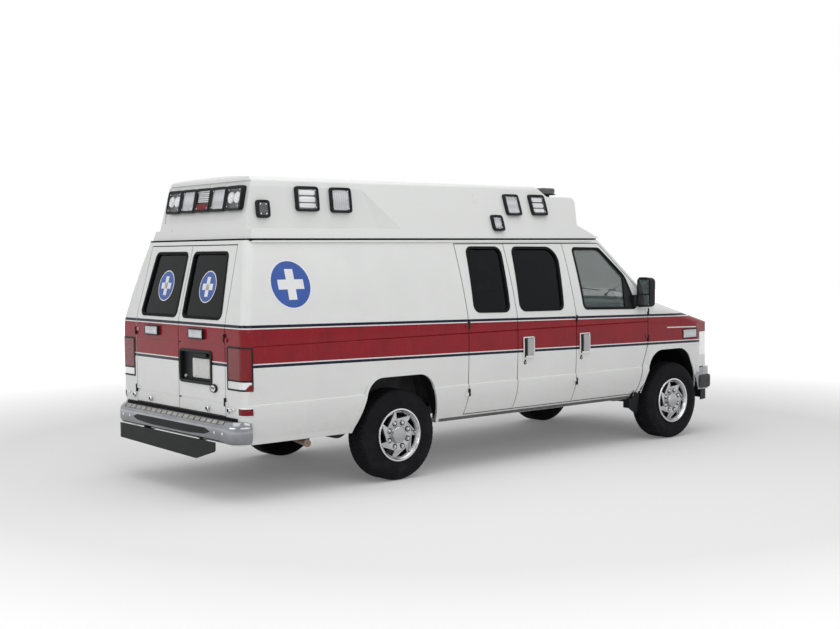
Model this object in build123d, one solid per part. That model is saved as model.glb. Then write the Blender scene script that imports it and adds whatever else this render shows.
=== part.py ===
from build123d import *
from itertools import pairwise
from math import cos, radians, sin, tan
import os

os.makedirs("parts", exist_ok=True)

# Van ambulance. Millimetres; x runs forward, y to the left, z up from the ground.

# Overall sizes
wheelbase = 3505
rear_overhang = 1605
front_overhang = 780
body_width = 2012
overall_length = wheelbase + rear_overhang + front_overhang
half_width = body_width / 2
rear_x = -overall_length / 2
front_x = overall_length / 2
rear_axle_x = rear_x + rear_overhang
front_axle_x = rear_axle_x + wheelbase

# Levels
sill_z = 434
step_z = 440
door_bottom_z = 480
floor_z = 640
crease_z = 748
groove_z = 1190
belt_z = 1345
door_top_z = 1962
gutter_z = 1996

# Panels and running gaps
wall = 50
skin = 12
door_inset = 30
door_gap = 8
fit = 0.3
glass_thickness = 6
glass_recess = 14

# Wheels
tyre_radius = 380
tyre_width = 245
hub_z = tyre_radius
front_track = 1763
rear_track = 1704
rim_radius = 203
steer_angle = 33

# Doors, measured forward from the rear axle or back from the front one
front_door_front = front_axle_x - 396
front_door_width = 1019
front_leaf_width = 759
rear_leaf_width = 587
front_door_back = front_door_front - front_door_width
leaf_split = front_door_back - front_leaf_width
rear_leaf_back = leaf_split - rear_leaf_width
rear_wall_x = rear_x + 95
rear_door_half = 727
rear_door_bottom_z = 650
rear_sill_z = 602


def bulged(start, end, bulge):
    """A straight run, or an arc that stands out to its right by the bulge."""
    if not bulge:
        return Line(start, end)
    along = (Vector(*end) - Vector(*start)).normalized()
    middle = (Vector(*start) + Vector(*end)) / 2 + Vector(along.Y, -along.X) * bulge
    return ThreePointArc(start, (middle.X, middle.Y), end)


def outline(corners):
    """A closed face from corners given as across, up, corner radius."""
    count = len(corners)
    ends = []
    edges = []
    for i in range(count):
        before, corner, after = (Vector(*corners[k % count][:2]) for k in (i - 1, i, i + 1))
        radius = corners[i][2]
        if not radius:
            ends.append((corner, corner))
            continue
        back, ahead = (before - corner).normalized(), (after - corner).normalized()
        half = radians(back.get_angle(ahead)) / 2
        centre = corner + (back + ahead).normalized() * (radius / sin(half))
        start, end = corner + back * (radius / tan(half)), corner + ahead * (radius / tan(half))
        middle = centre + (corner - centre).normalized() * radius
        edges.append(ThreePointArc(start, middle, end))
        ends.append((start, end))
    for i in range(count):
        start, end = ends[i][1], ends[(i + 1) % count][0]
        if (end - start).length > 0.01:
            edges.append(Line(start, end))
    return make_face(edges)


def prism_x(face, low, high):
    """A face drawn in y and z, filling from low to high along x."""
    return extrude(Plane.YZ.offset(low) * face, amount=high - low)


def prism_y(face, low, high):
    """A face drawn in x and z, filling from low to high along y."""
    return extrude(Plane.XZ.offset(-low) * face, amount=low - high)


def prism_z(face, low, high):
    """A face drawn in x and y, filling from low to high along z."""
    return extrude(Plane.XY.offset(low) * face, amount=high - low)


def block(x_low, x_high, y_low, y_high, z_low, z_high):
    """A box between two corners."""
    size = (x_high - x_low, y_high - y_low, z_high - z_low)
    centre = ((x_low + x_high) / 2, (y_low + y_high) / 2, (z_low + z_high) / 2)
    return Pos(*centre) * Box(*size)


def rod_y(x, z, radius, low, high):
    """A round bar along y."""
    return Pos(x, (low + high) / 2, z) * Rot(X=90) * Cylinder(radius, high - low)


def other_side(shape):
    """The same shape on the other side of the vehicle."""
    return mirror(shape, about=Plane.XZ)


# Body side, seen from behind: inset from the widest line, height, bulge of the run above
smooth_side = [
    (106, sill_z, 0),
    (87, door_bottom_z, 4),
    (31, 590, 6),
    (3, 725, 4),
    (1, groove_z, 4),
    (11, belt_z - 5, 12),
    (203, gutter_z - 11, 0),
    (206, gutter_z, 0),
]
full_side = smooth_side[:3] + [
    (3, 725, 0),
    (3, crease_z - 4, 0),
    (13, crease_z + 4, 5),
    (1, groove_z - 6, 0),
    (7, groove_z, 0),
    (1, groove_z + 6, 4),
] + smooth_side[5:]


def side_runs(rows, shift):
    """The runs of the body side and their two end points, moved inwards by shift."""
    points = [(half_width - inset - shift, z) for inset, z, _ in rows]
    runs = [bulged(a, b, row[2]) for (a, b), row in zip(pairwise(points), rows)]
    return runs, points[0], points[-1]


def side_half(rows, shift):
    """The left half of the cross-section inside the body side."""
    runs, foot, top = side_runs(rows, shift)
    closing = [Line(top, (0, top[1])), Line((0, top[1]), (0, foot[1])), Line((0, foot[1]), foot)]
    return make_face(runs + closing)


def side_band(outer, inner):
    """A left wall of the body, between two depths under its side surface."""
    rows = full_side if outer == 0 else smooth_side
    runs, foot, top = side_runs(rows, outer)
    inner_runs, inner_foot, inner_top = side_runs(smooth_side, inner)
    face = make_face(runs + inner_runs + [Line(foot, inner_foot), Line(top, inner_top)])
    return prism_x(face, rear_x, front_x)


# Rear wall, seen from the side
rear_lean = 153
rear_knee_radius = 420


def rear_line(shift):
    """Corners of the rear wall's line, top first, moved forward by shift."""
    slope = rear_lean / (door_top_z - belt_z)
    back = rear_wall_x + shift
    return [
        (back + slope * (gutter_z - belt_z), gutter_z, 0),
        (back, belt_z, rear_knee_radius),
        (back, sill_z, 0),
    ]


def rear_band(outer, inner):
    """A wall across the rear, between two depths under its surface."""
    face = outline(rear_line(outer) + rear_line(inner)[::-1])
    return prism_y(face, -half_width, half_width)


# Windshield, a cylinder bowed in plan whose axis leans back with the glass
windshield_angle = 43.8
windshield_foot = (front_axle_x - 161, 1380)
bow_radius = 4500
glass_line = Vector(-cos(radians(windshield_angle)), 0, sin(radians(windshield_angle)))
glass_out = Vector(sin(radians(windshield_angle)), 0, cos(radians(windshield_angle)))


def behind_windshield(shift):
    """Everything behind the windshield's surface, moved inwards by shift."""
    foot = Vector(windshield_foot[0], 0, windshield_foot[1])
    origin = foot - glass_out * bow_radius - glass_line * overall_length
    plane = Plane(origin=origin, x_dir=(0, 1, 0), z_dir=glass_line)
    return extrude(plane * Circle(bow_radius - shift), amount=2 * overall_length)


def cabin_half(shift):
    """The left half of the body behind the windshield, moved inwards by shift."""
    far = front_x
    silhouette = outline(rear_line(shift) + [(far, sill_z, 0), (far, gutter_z, 0)])
    body = prism_x(side_half(smooth_side, shift), rear_x, far) & prism_y(silhouette, 0, half_width)
    return body & behind_windshield(shift)


corner_radius = 70


def rounded_half():
    """The outside of the left half of the body, its rear corner rounded, without crease or groove."""
    plain = cabin_half(0)
    corner = [
        edge
        for edge in plain.edges()
        if edge.center().X < rear_wall_x + rear_lean + wall
        and edge.center().Y > rear_door_half
        and edge.center().Z < gutter_z - 1
    ]
    return fillet(corner, corner_radius)


smooth_outside = rounded_half()
body_outside = smooth_outside & prism_x(side_half(full_side, 0), rear_x, front_x)
body_inside = cabin_half(wall)
body_shell = body_outside - body_inside
room = cabin_half(wall + 10)

# Wheel arches, seen from the side: forward of the axle, height, corner radius
arch_foot_z = sill_z - 60
rear_arch_rows = [(-467, arch_foot_z, 0), (-321, 876, 170), (313, 876, 170), (461, arch_foot_z, 0)]
front_arch_rows = [(-549, arch_foot_z, 0), (-303, 904, 200), (211, 904, 200), (458, arch_foot_z, 0)]


def arch(rows, axle_x, grow):
    """A wheel arch's opening, grown outwards."""
    face = outline([(axle_x + x, z, radius) for x, z, radius in rows])
    return offset(face, amount=grow, kind=Kind.INTERSECTION) if grow else face


def rear_arch(grow):
    """The rear wheel arch's opening."""
    return arch(rear_arch_rows, rear_axle_x, grow)


def front_arch(grow):
    """The front wheel arch's opening."""
    return arch(front_arch_rows, front_axle_x, grow)


# Door outlines along the middle of their gaps: x, z, corner radius
pillar_x = front_door_front - 521
front_door_rows = [
    (front_door_back, door_bottom_z, 0),
    (front_door_front - 105, door_bottom_z, 45),
    (front_door_front - 74, crease_z, 0),
    (front_door_front, 971, 90),
    (front_door_front, 1417, 80),
    (pillar_x, door_top_z, 50),
    (front_door_back, door_top_z, 0),
]
front_window_rows = [
    (front_door_back + 121, 1349, 40),
    (front_door_front - 160, 1329, 30),
    (front_door_front - 258, 1641, 150),
    (front_door_front - 530, 1912, 50),
    (front_door_back + 123, 1918, 40),
]
front_leaf_rows = [
    (leaf_split, door_bottom_z, 0),
    (front_door_back, door_bottom_z, 0),
    (front_door_back, door_top_z, 0),
    (leaf_split, door_top_z, 0),
]
front_leaf_window_rows = [
    (leaf_split + 51, 1362, 60),
    (front_door_back - 161, 1353, 60),
    (front_door_back - 90, 1922, 130),
    (leaf_split + 95, 1927, 60),
]
rear_leaf_rows = [
    (rear_leaf_back, door_bottom_z, 0),
    (leaf_split, door_bottom_z, 0),
    (leaf_split, door_top_z, 0),
    (rear_leaf_back, door_top_z, 0),
]
rear_leaf_window_rows = [
    (rear_leaf_back + 86, 1371, 60),
    (leaf_split - 84, 1361, 60),
    (leaf_split - 50, 1928, 60),
    (rear_leaf_back + 131, 1930, 60),
]


def grown(face, amount):
    """A flat outline moved outwards, or inwards if negative, its corners kept sharp."""
    return offset(face, amount=amount, kind=Kind.INTERSECTION)


def through_side(face):
    """A cutter through the left side of the body."""
    return prism_y(face, half_width / 2, half_width + wall)


def side_door(rows, window_rows):
    """A left door: a skin out to the gap and a narrower box behind it, with its window cut."""
    face = outline(rows)
    skin_part = side_band(0, skin) & through_side(grown(face, -door_gap / 2))
    box_part = side_band(skin, wall) & through_side(grown(face, -door_gap / 2 - door_inset))
    return skin_part + box_part - through_side(outline(window_rows))


def side_glass(window_rows):
    """The pane that fills a left side window."""
    pane = side_band(glass_recess, glass_recess + glass_thickness)
    return pane & through_side(grown(outline(window_rows), -fit))


# Rain gutter and arch lips
gutter_low_z = 1979
gutter_height = 12
gutter_reach = 14
lip_width = 22
lip_reach = 6


def gutter(x_low, x_high):
    """The rain gutter along the left side's top."""
    return side_band(-gutter_reach, 2) & block(
        x_low, x_high, half_width / 2, half_width, gutter_low_z, gutter_low_z + gutter_height
    )


def arch_lip(rows, axle_x):
    """The raised edge round a wheel arch."""
    ring = arch(rows, axle_x, lip_width) - arch(rows, axle_x, 0)
    lip = side_band(-lip_reach, lip_reach) & prism_y(ring, half_width / 2, half_width + wall)
    return lip & block(rear_x, front_x, 0, half_width + wall, sill_z, gutter_z)


# Rear door, seen from behind: y, z, corner radius
rear_door_top_half = 690
rear_door_rows = [
    (0, rear_door_bottom_z, 0),
    (rear_door_half, rear_door_bottom_z, 0),
    (rear_door_half, belt_z, 0),
    (rear_door_top_half, door_top_z, 0),
    (0, door_top_z, 0),
]
rear_window_rows = [(50, 1392, 45), (656, 1392, 45), (577, 1904, 45), (50, 1904, 45)]


def through_rear(face):
    """A cutter through the rear wall."""
    return prism_x(face, rear_x, rear_wall_x + rear_lean + 2 * wall)


groove_half = 6
groove_depth = 4


def rear_door():
    """The left rear door, a skin out to the gap and a narrower box behind it, with two pressed lines."""
    face = outline(rear_door_rows)
    skin_part = rear_band(0, skin) & through_rear(grown(face, -door_gap / 2))
    box_part = rear_band(skin, wall) & through_rear(grown(face, -door_gap / 2 - door_inset - skin))
    grooves = [
        block(rear_x, rear_wall_x + groove_depth, 0, rear_door_half, z - groove_half, z + groove_half)
        for z in (crease_z, groove_z)
    ]
    return skin_part + box_part - through_rear(outline(rear_window_rows)) - grooves


def rear_glass():
    """The pane of the left rear door."""
    pane = rear_band(glass_recess, glass_recess + glass_thickness)
    return pane & through_rear(grown(outline(rear_window_rows), -fit))


# Front end: fenders, hood and nose as one form, split where the panels meet
fender_wall = 40
hood_wall = 24
hood_half = 838
hood_slope = 15.5
crown_height = 24
hood_back_gap = 20
crease_half = 880
cowl_z = 1365
nose_x = front_x - 90
nose_bottom_z = 694
hood_back_x = front_axle_x - 145
hood_front_x = nose_x - 55
fender_front_x = front_axle_x + 560


def crown(centre_z, shift):
    """The left half of a cross-section under the hood's crown and the fender's shoulder."""
    top, low = centre_z - shift, -overall_length
    edge = half_width + 6 - shift
    return make_face([
        ThreePointArc((0, top), (crease_half / 2, top - crown_height / 4), (crease_half, top - crown_height)),
        ThreePointArc(
            (crease_half, top - crown_height),
            (crease_half + (edge - crease_half) * 0.72, top - crown_height - 36),
            (edge, top - crown_height - 110),
        ),
        Line((edge, top - crown_height - 110), (edge, low)),
        Line((edge, low), (0, low)),
        Line((0, low), (0, top)),
    ])


def front_half(shift):
    """The left half of the front end, moved inwards by shift."""
    start = front_door_front + door_gap / 2
    rows = smooth_side[:5] + [(11, belt_z - 5, 0), (30, 1500, 0)]
    sides = prism_x(side_half(rows, shift), start, front_x)
    level = prism_x(crown(cowl_z + crown_height, shift), start, front_x)
    tilt = Vector(cos(radians(hood_slope)), 0, -sin(radians(hood_slope)))
    crease_z_here = 1358 + tan(radians(hood_slope)) * (front_axle_x - 116 - start) + crown_height
    face = Plane.YZ.offset(start) * crown(crease_z_here, shift)
    sloped = extrude(face, amount=overall_length, dir=tilt)
    plan = prism_z(
        outline([
            (start, 0, 0),
            (start, half_width + 6 - shift, 0),
            (front_axle_x + 345, half_width + 4 - shift, 0),
            (nose_x - 70 - shift, 950 - shift, 110 - shift),
            (nose_x - shift, 0, 0),
        ]),
        0,
        gutter_z,
    )
    nose = prism_y(
        outline([
            (start, sill_z, 0),
            (front_axle_x + 420, sill_z, 0),
            (front_axle_x + 425, nose_bottom_z, 0),
            (nose_x - shift, nose_bottom_z, 0),
            (nose_x - 6 - shift, 1160 - shift, 70),
            (nose_x - 700, 1500, 0),
            (start, 1500, 0),
        ]),
        0,
        half_width,
    )
    return sides & level & sloped & plan & nose


above_cowl = block(0, front_x, 0, half_width, cowl_z, gutter_z)
windshield_base = body_outside & above_cowl
front_outside = front_half(0) - windshield_base
fender_shell = front_outside - front_half(fender_wall)
hood_plan = outline([
    (hood_back_x, 0, 0), (hood_back_x, hood_half, 0), (hood_front_x - 60, hood_half, 60), (hood_front_x, 0, 0)
])
hood_zone = prism_z(hood_plan, 1000, 1500)
hood_hole = prism_z(grown(hood_plan, door_gap / 2), 1000, 1500)


def save(name, shape):
    """Writes one named piece."""
    export_step(shape, f"parts/{name}.step")


def both(shape):
    """A piece and its mirror image as one."""
    return shape + other_side(shape)


def pair(name, shape):
    """Writes a piece for each side of the vehicle."""
    save(f"{name}_left", shape)
    save(f"{name}_right", other_side(shape))


# Door hinges: two knuckles on one upright axis, each with a leaf
hinge_radius = 9
hinge_half_height = 30
hinge_stand_off = 2
hinge_leaf = 40
pocket_radius = 11.5
side_hinge_heights = (677, 1262)
front_hinge_heights = (1030, 1290)
rear_hinge_heights = (760, 1250)
hinge_y = half_width + hinge_stand_off
rear_hinge_x = rear_wall_x - 6


def along(origin, toward, inward, reach, depth, rise):
    """A box spanned from an origin along two level directions and upwards, each from low to high."""
    a, b = (origin + toward * reach[i] + inward * depth[i] + Vector(0, 0, rise[i]) for i in (0, 1))
    return block(min(a.X, b.X), max(a.X, b.X), min(a.Y, b.Y), max(a.Y, b.Y), a.Z, b.Z)


def hinge_half(origin, toward, inward, upper):
    """The upper or lower half of a hinge, its leaf towards the piece that it carries."""
    low, high = (fit / 2, hinge_half_height) if upper else (-hinge_half_height, -fit / 2)
    knuckle = Pos(origin.X, origin.Y, origin.Z + (low + high) / 2) * Cylinder(hinge_radius, high - low)
    return knuckle + along(origin, toward, inward, (0, hinge_leaf), (-3, 18), (low, high))


def hinge_pocket(origin):
    """The room that a hinge's knuckles take."""
    return Pos(*origin) * Cylinder(pocket_radius, 2 * hinge_half_height + 4)


def side_hinges(x, heights):
    """The hinge centres of a left side door."""
    return [Vector(x, hinge_y, z) for z in heights]


forward = Vector(1, 0, 0)
aft = Vector(-1, 0, 0)
to_right = Vector(0, -1, 0)
to_left = Vector(0, 1, 0)
front_door_hinges = side_hinges(front_door_front, front_hinge_heights)
front_leaf_hinges = side_hinges(front_door_back, side_hinge_heights)
rear_leaf_hinges = side_hinges(rear_leaf_back, side_hinge_heights)
rear_door_hinges = [Vector(rear_hinge_x, rear_door_half, z) for z in rear_hinge_heights]


def hang(piece, centres, toward, inward, upper):
    """A piece with its halves of the hinges."""
    piece = piece - [hinge_pocket(centre) for centre in centres]
    return piece + [hinge_half(centre, toward, inward, upper) for centre in centres]


# Body panels
header_x = pillar_x - 100
front_door_opening = through_side(grown(outline(front_door_rows), door_gap / 2))
side_opening_rows = (
    [(rear_leaf_back, door_bottom_z, 0)] + front_door_rows[1:6] + [(rear_leaf_back, door_top_z, 0)]
)
side_opening = through_side(grown(outline(side_opening_rows), door_gap / 2))
rocker_top_z = door_bottom_z - door_gap / 2
arch_side = prism_y(front_arch(0), half_width / 2, half_width + wall)
side_zone = prism_y(
    outline([
        (rear_x, sill_z, 0),
        (front_axle_x, sill_z, 0),
        (front_axle_x, rocker_top_z, 0),
        (header_x, rocker_top_z, 0),
        (header_x, gutter_z, 0),
        (rear_x, gutter_z, 0),
    ]),
    0,
    half_width,
)
rear_zone_rows = [
    (0, sill_z, 0),
    (rear_door_half + door_gap / 2, sill_z, 0),
    (rear_door_half + door_gap / 2, belt_z, 0),
    (rear_door_top_half + door_gap / 2, door_top_z + door_gap / 2, 0),
    (rear_door_top_half + door_gap / 2, gutter_z, 0),
    (0, gutter_z, 0),
]
tail_lamp_zone = block(rear_x, rear_axle_x - 1432, 758, half_width, 856, 1192)
tail_lamp_room = block(rear_x, rear_axle_x - 1432 - fit, 758 + fit, half_width, 856 + fit, 1192 - fit)


def side_panel(opening):
    """A left side panel around an opening, with its arch and the corner by the rear door."""
    panel = (body_shell & side_zone) - opening - through_rear(outline(rear_zone_rows))
    panel = panel - prism_y(rear_arch(0), half_width / 2, half_width) - arch_side
    panel = panel + arch_lip(rear_arch_rows, rear_axle_x)
    return panel - tail_lamp_zone + (gutter(rear_wall_x + rear_lean + wall, header_x) - body_inside)


def door_pillar():
    """The post behind the gap between the front door and the side doors, on the sill and rail."""
    half = 45
    top = gutter_z - 1
    post = side_band(wall, 2 * wall) & block(
        front_door_back - half, front_door_back + half, 0, half_width, step_z + 12, top
    )
    gap = side_band(wall, wall + 6) & block(
        rear_x, front_x, 0, half_width, rocker_top_z, door_top_z + door_gap / 2
    )
    return post - gap


left_panel = side_panel(front_door_opening)
right_panel = side_panel(side_opening) + door_pillar()
hinge_straps = [
    Pos(c.X, c.Y, c.Z - hinge_half_height / 2) * Cylinder(hinge_radius, hinge_half_height - fit)
    + along(c, forward, to_right, (-3, 3), (0, 84), (-hinge_half_height + fit / 2, -fit / 2))
    for c in front_leaf_hinges
]
filler_rows = [
    (rear_axle_x + 640, 905, 30),
    (rear_axle_x + 850, 905, 30),
    (rear_axle_x + 850, 1085, 30),
    (rear_axle_x + 640, 1085, 30),
]
filler_seam = grown(outline(filler_rows), 5) - outline(filler_rows)
left_panel = left_panel - (through_side(filler_seam) & side_band(0, 5))
left_panel = hang(left_panel, rear_door_hinges, to_left, forward, False)
right_panel = hang(right_panel, rear_door_hinges, to_left, forward, False)
right_panel = hang(right_panel, rear_leaf_hinges, aft, to_right, False) + hinge_straps
save("side_panel_left", left_panel)
save("side_panel_right", other_side(right_panel))

rear_wall = rear_band(0, wall) & through_rear(outline(rear_zone_rows))
rear_hole = through_rear(outline([
    (-1, rear_door_bottom_z - door_gap / 2, 0),
    (half_width, rear_door_bottom_z - door_gap / 2, 0),
    (half_width, door_top_z + door_gap / 2, 0),
    (-1, door_top_z + door_gap / 2, 0),
]))
rear_frame = (rear_wall - rear_hole) & block(rear_x, front_x, 0, half_width, rear_sill_z, gutter_z)
save("rear_door_surround", both(rear_frame))
save("tail_lamps", both((smooth_outside - body_inside) & tail_lamp_room))

# Windshield, cut square to its own surface
glass_plane = Plane(
    origin=(windshield_foot[0], 0, windshield_foot[1]), x_dir=(0, 1, 0), z_dir=glass_out
)
windshield_foot_half = 890
windshield_top_half = 735


def windshield_cut(shrink):
    """The opening for the windshield, drawn across the glass and up it."""
    low, top = windshield_foot_half - shrink, windshield_top_half - shrink
    face = make_face([
        ThreePointArc((-low, 129 + shrink), (0, 36 + shrink), (low, 129 + shrink)),
        Line((low, 129 + shrink), (top, 858 - shrink)),
        ThreePointArc((top, 858 - shrink), (0, 796 - shrink), (-top, 858 - shrink)),
        Line((-top, 858 - shrink), (-low, 129 + shrink)),
    ])
    face = fillet(face.vertices(), 60)
    return extrude(glass_plane * face, amount=4 * wall, both=True)


cap_end_x = rear_axle_x + 2500
body_limit = behind_windshield(0)
surround = (body_shell & block(header_x, front_x, 0, half_width, cowl_z, gutter_z)) - front_door_opening
header_roof = body_outside & block(header_x, front_x, 0, half_width, gutter_z - 20, gutter_z)
surround = surround + (header_roof - through_side(outline(front_door_rows)))
surround = surround + (gutter(header_x, cap_end_x) & body_limit)
save("windshield_surround", both(surround) - windshield_cut(0))
glass_slab = behind_windshield(glass_recess) - behind_windshield(glass_recess + glass_thickness)
save("windshield_glass", glass_slab & windshield_cut(fit))

# Front end
grille_half = 470
grille_low_z = 800
grille_top_z = 1062
lamp_low_z = 812
lamp_top_z = 1050


def nose_zone(y_low, y_high, z_low, z_high, shrink):
    """The part of the nose between two widths and two heights."""
    return block(
        nose_x - 260 + shrink, front_x, y_low + shrink, y_high - shrink, z_low + shrink, z_high - shrink
    )


panel_start = front_door_front + door_gap / 2
cowl_zone = block(panel_start, hood_back_x - hood_back_gap, 0, hood_half + door_gap / 2, 1100, 1500)
liner_ring = prism_y(front_arch(62) - front_arch(50), 540, half_width)
liner_wall = prism_y(front_arch(62), 540, 552) & block(rear_x, front_x, 0, half_width, floor_z, gutter_z)
liner = liner_ring + liner_wall
liner_front = liner & front_half(fender_wall)
liner_back = liner & cabin_half(wall + 6) & block(rear_x, panel_start, 0, half_width, sill_z, gutter_z)
fender_zone = block(panel_start, fender_front_x, 0, half_width, rocker_top_z, 1500)
fender = (fender_shell & fender_zone) - hood_hole - arch_side
fender = fender - block(rear_x, hood_back_x, -1, hood_half + door_gap / 2, 1000, 1500)
fender = fender - nose_zone(grille_half + 18, half_width, lamp_low_z, lamp_top_z, 0)
front_lip = arch_lip(front_arch_rows, front_axle_x) & block(panel_start, front_x, 0, half_width, 0, gutter_z)
fender = fender + (front_lip - front_door_opening) + liner_front + liner_back
fender = hang(fender, front_door_hinges, forward, to_right, False)
save("fenders", both(fender))
firewall = block(panel_start, panel_start + 20, 0, half_width, floor_z - 40, cowl_z - fit)
firewall = firewall & front_half(fender_wall)
firewall = firewall - prism_y(front_arch(62), 540, half_width)
cowl = (fender_shell & cowl_zone) + firewall
hood = (front_outside - front_half(hood_wall)) & hood_zone
hood_axis_x = hood_back_x - hood_back_gap / 2
hood_axis_z = cowl_z + crown_height - 8
hood_hinge_y = 300
hood_knuckle = 6


def hood_leaf(x_low, x_high, y_low):
    """A knuckle of the hood's hinge and the leaf under the panel that it carries."""
    knuckle = rod_y(hood_axis_x, hood_axis_z, hood_knuckle, y_low, y_low + 30)
    leaf = block(x_low, x_high, y_low, y_low + 30, hood_axis_z - 20, hood_axis_z)
    return knuckle + leaf


cowl = cowl + (hood_leaf(hood_axis_x - 30, hood_axis_x, hood_hinge_y) - windshield_base)
hood = hood + hood_leaf(hood_axis_x, hood_axis_x + 30, hood_hinge_y + 30 + fit)
save("cowl", both(cowl))
save("hood", both(hood))

nose = (fender_shell & block(fender_front_x, front_x, 0, half_width, nose_bottom_z, 1500)) - hood_hole
nose = nose - nose_zone(-1, grille_half, grille_low_z, grille_top_z, 0)
nose = nose - nose_zone(grille_half + 18, half_width, lamp_low_z, lamp_top_z, 0)
save("nose_panel", both(nose))
save("headlamps", both((front_outside - front_half(fender_wall + 20)) & nose_zone(
    grille_half + 18, half_width, lamp_low_z, lamp_top_z, fit
)))
grille_border = 24
grille_rows = 3
grille_columns = 9
grille_slab = (front_half(-16) - front_half(30)) & nose_zone(-1, grille_half, grille_low_z, grille_top_z, fit)
grille_slab = both(grille_slab & block(rear_x, front_x, 0, half_width, 0, gutter_z))
cell_width = (2 * grille_half - grille_border) / grille_columns
cell_height = (grille_top_z - grille_low_z - grille_border) / grille_rows
grille_holes = [
    Pos(
        nose_x,
        -grille_half + grille_border / 2 + cell_width * (column + 0.5),
        grille_low_z + grille_border / 2 + cell_height * (row + 0.5),
    ) * Box(300, cell_width - grille_border, cell_height - grille_border)
    for row in range(grille_rows)
    for column in range(grille_columns)
]
save("grille", grille_slab - grille_holes)


# Bumpers
bumper_low_z = 455
front_bumper_top_z = 686
front_bumper_wall = 45
front_bumper_end_x = front_axle_x + 482


def front_bumper_plan(shift):
    """The left half of the front bumper's outline from above."""
    return outline([
        (front_bumper_end_x, 0, 0),
        (front_bumper_end_x, 992 - shift, 0),
        (front_x - 110 - shift, 965 - shift, 150 - shift),
        (front_x - shift, 0, 0),
    ])


bumper = prism_z(front_bumper_plan(0), bumper_low_z, front_bumper_top_z)
bumper = bumper - prism_z(front_bumper_plan(front_bumper_wall), bumper_low_z, front_bumper_top_z)
save("front_bumper", both(bumper))
dam = prism_z(front_bumper_plan(24), 345, bumper_low_z) - prism_z(front_bumper_plan(36), 345, bumper_low_z)
save("front_air_dam", both(dam))

rear_bumper_top_z = 625
rear_bumper_wall = 12
rear_bumper_end_x = rear_axle_x - 1440
rear_bumper_half = 1000


def rear_bumper_plan(shift):
    """The left half of the rear bumper's outline from above."""
    return outline([
        (rear_bumper_end_x, 0, 0),
        (rear_bumper_end_x, rear_bumper_half - shift, 0),
        (rear_x + shift, rear_bumper_half - shift, 150 - shift),
        (rear_x + shift, 0, 0),
    ])


step = prism_z(rear_bumper_plan(0), bumper_low_z, rear_bumper_top_z)
step = step - prism_z(rear_bumper_plan(rear_bumper_wall), bumper_low_z - 1, rear_bumper_top_z - 14)
step = step - block(rear_x - 1, rear_x + 6, -1, 600, 505, 565)
step = step - cabin_half(-5) - block(rear_wall_x - 5, front_x, -1, half_width - 60, 0, gutter_z)
save("rear_bumper", both(step))
valance = prism_x(
    outline([
        (945, bumper_low_z, 0), (940, 330, 40), (-416, 300, 20), (-707, 385, 30), (-707, bumper_low_z, 0)
    ]),
    rear_x + 4,
    rear_x + rear_bumper_wall,
)
valance = valance & both(prism_z(rear_bumper_plan(3), 250, bumper_low_z))
save("rear_valance", valance)

# Chassis frame
rail_half = 430
rail_width = 70
rail_low_z = 440
rail_height = 160
rail_wall = 8
hitch_hole_x = rear_x + 160
hitch_hole_spacing = 200
hitch_hole_radius = 8.5
rail_start_x = rear_x + rear_bumper_wall + fit
rail_end_x = front_x
rail = block(
    rail_start_x, rail_end_x, rail_half - rail_width / 2, rail_half + rail_width / 2,
    rail_low_z, rail_low_z + rail_height,
)
rail = rail - block(
    rail_start_x, rail_end_x, rail_half - rail_width / 2, rail_half + rail_width / 2 - rail_wall,
    rail_low_z + rail_wall, rail_low_z + rail_height - rail_wall,
)
horn_limit = prism_z(front_bumper_plan(front_bumper_wall + fit), 0, gutter_z)
rail = rail & (horn_limit + block(rear_x, front_bumper_end_x, 0, half_width, 0, gutter_z))
rail = rail - [
    Pos(hitch_hole_x + i * hitch_hole_spacing, rail_half, rail_low_z)
    * Cylinder(hitch_hole_radius, 4 * rail_wall)
    for i in range(2)
]
crossmember_stations = [
    rear_x + 50,
    rear_axle_x - 620,
    rear_axle_x + 700,
    rear_axle_x + 1500,
    front_axle_x - 900,
    front_axle_x - 65,
    front_axle_x + 5,
    front_axle_x + 500,
]
crossmembers = [
    block(x, x + 60, 0, rail_half - rail_width / 2 + 4, rail_low_z + 20, rail_low_z + 70)
    + block(x, x + 60, rail_half - rail_width / 2 - 4, rail_half, rail_low_z, rail_low_z + rail_height)
    for x in crossmember_stations
]
spring_y = 513
tower = block(
    front_axle_x - 60, front_axle_x + 60, rail_half - rail_width / 2, spring_y + 42,
    rail_low_z + rail_height, rail_low_z + rail_height + 14,
)
frame = rail + crossmembers + tower
save("chassis_frame", both(frame))

# Floor, with a step well inside each side door opening and a tub over each rear wheel
floor_thickness = 40
door_clear = 12
tub_inner_y = 690
well_inner_y = 700
floor_low_z = floor_z - floor_thickness
floor_room = cabin_half(wall)


def step_well(x_low, x_high):
    """The step behind a side door: a plate on the sill and a riser to the floor."""
    plate = block(x_low, x_high, well_inner_y, half_width, step_z, step_z + 12) & floor_room
    riser = block(x_low, x_high, well_inner_y, well_inner_y + 12 - fit, step_z, floor_low_z + 20)
    return plate + riser


def floor_half(well_back):
    """The left half of the floor; its step well starts at well_back."""
    plate = block(rear_wall_x + wall, panel_start, 0, half_width, floor_low_z, floor_z) & floor_room
    well_front = front_axle_x - 500
    plate = plate - block(well_back, well_front, well_inner_y, half_width, 0, floor_z)
    plate = plate - prism_y(front_arch(64), 538, half_width)
    plate = plate - prism_y(rear_arch(40), tub_inner_y, half_width)
    ring = prism_y(rear_arch(40) - rear_arch(28), tub_inner_y, half_width) & floor_room
    cheek = prism_y(rear_arch(40), tub_inner_y, tub_inner_y + 12)
    tub = (ring + cheek) & block(rear_x, front_x, 0, half_width, floor_low_z, gutter_z)
    return plate + tub


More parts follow.
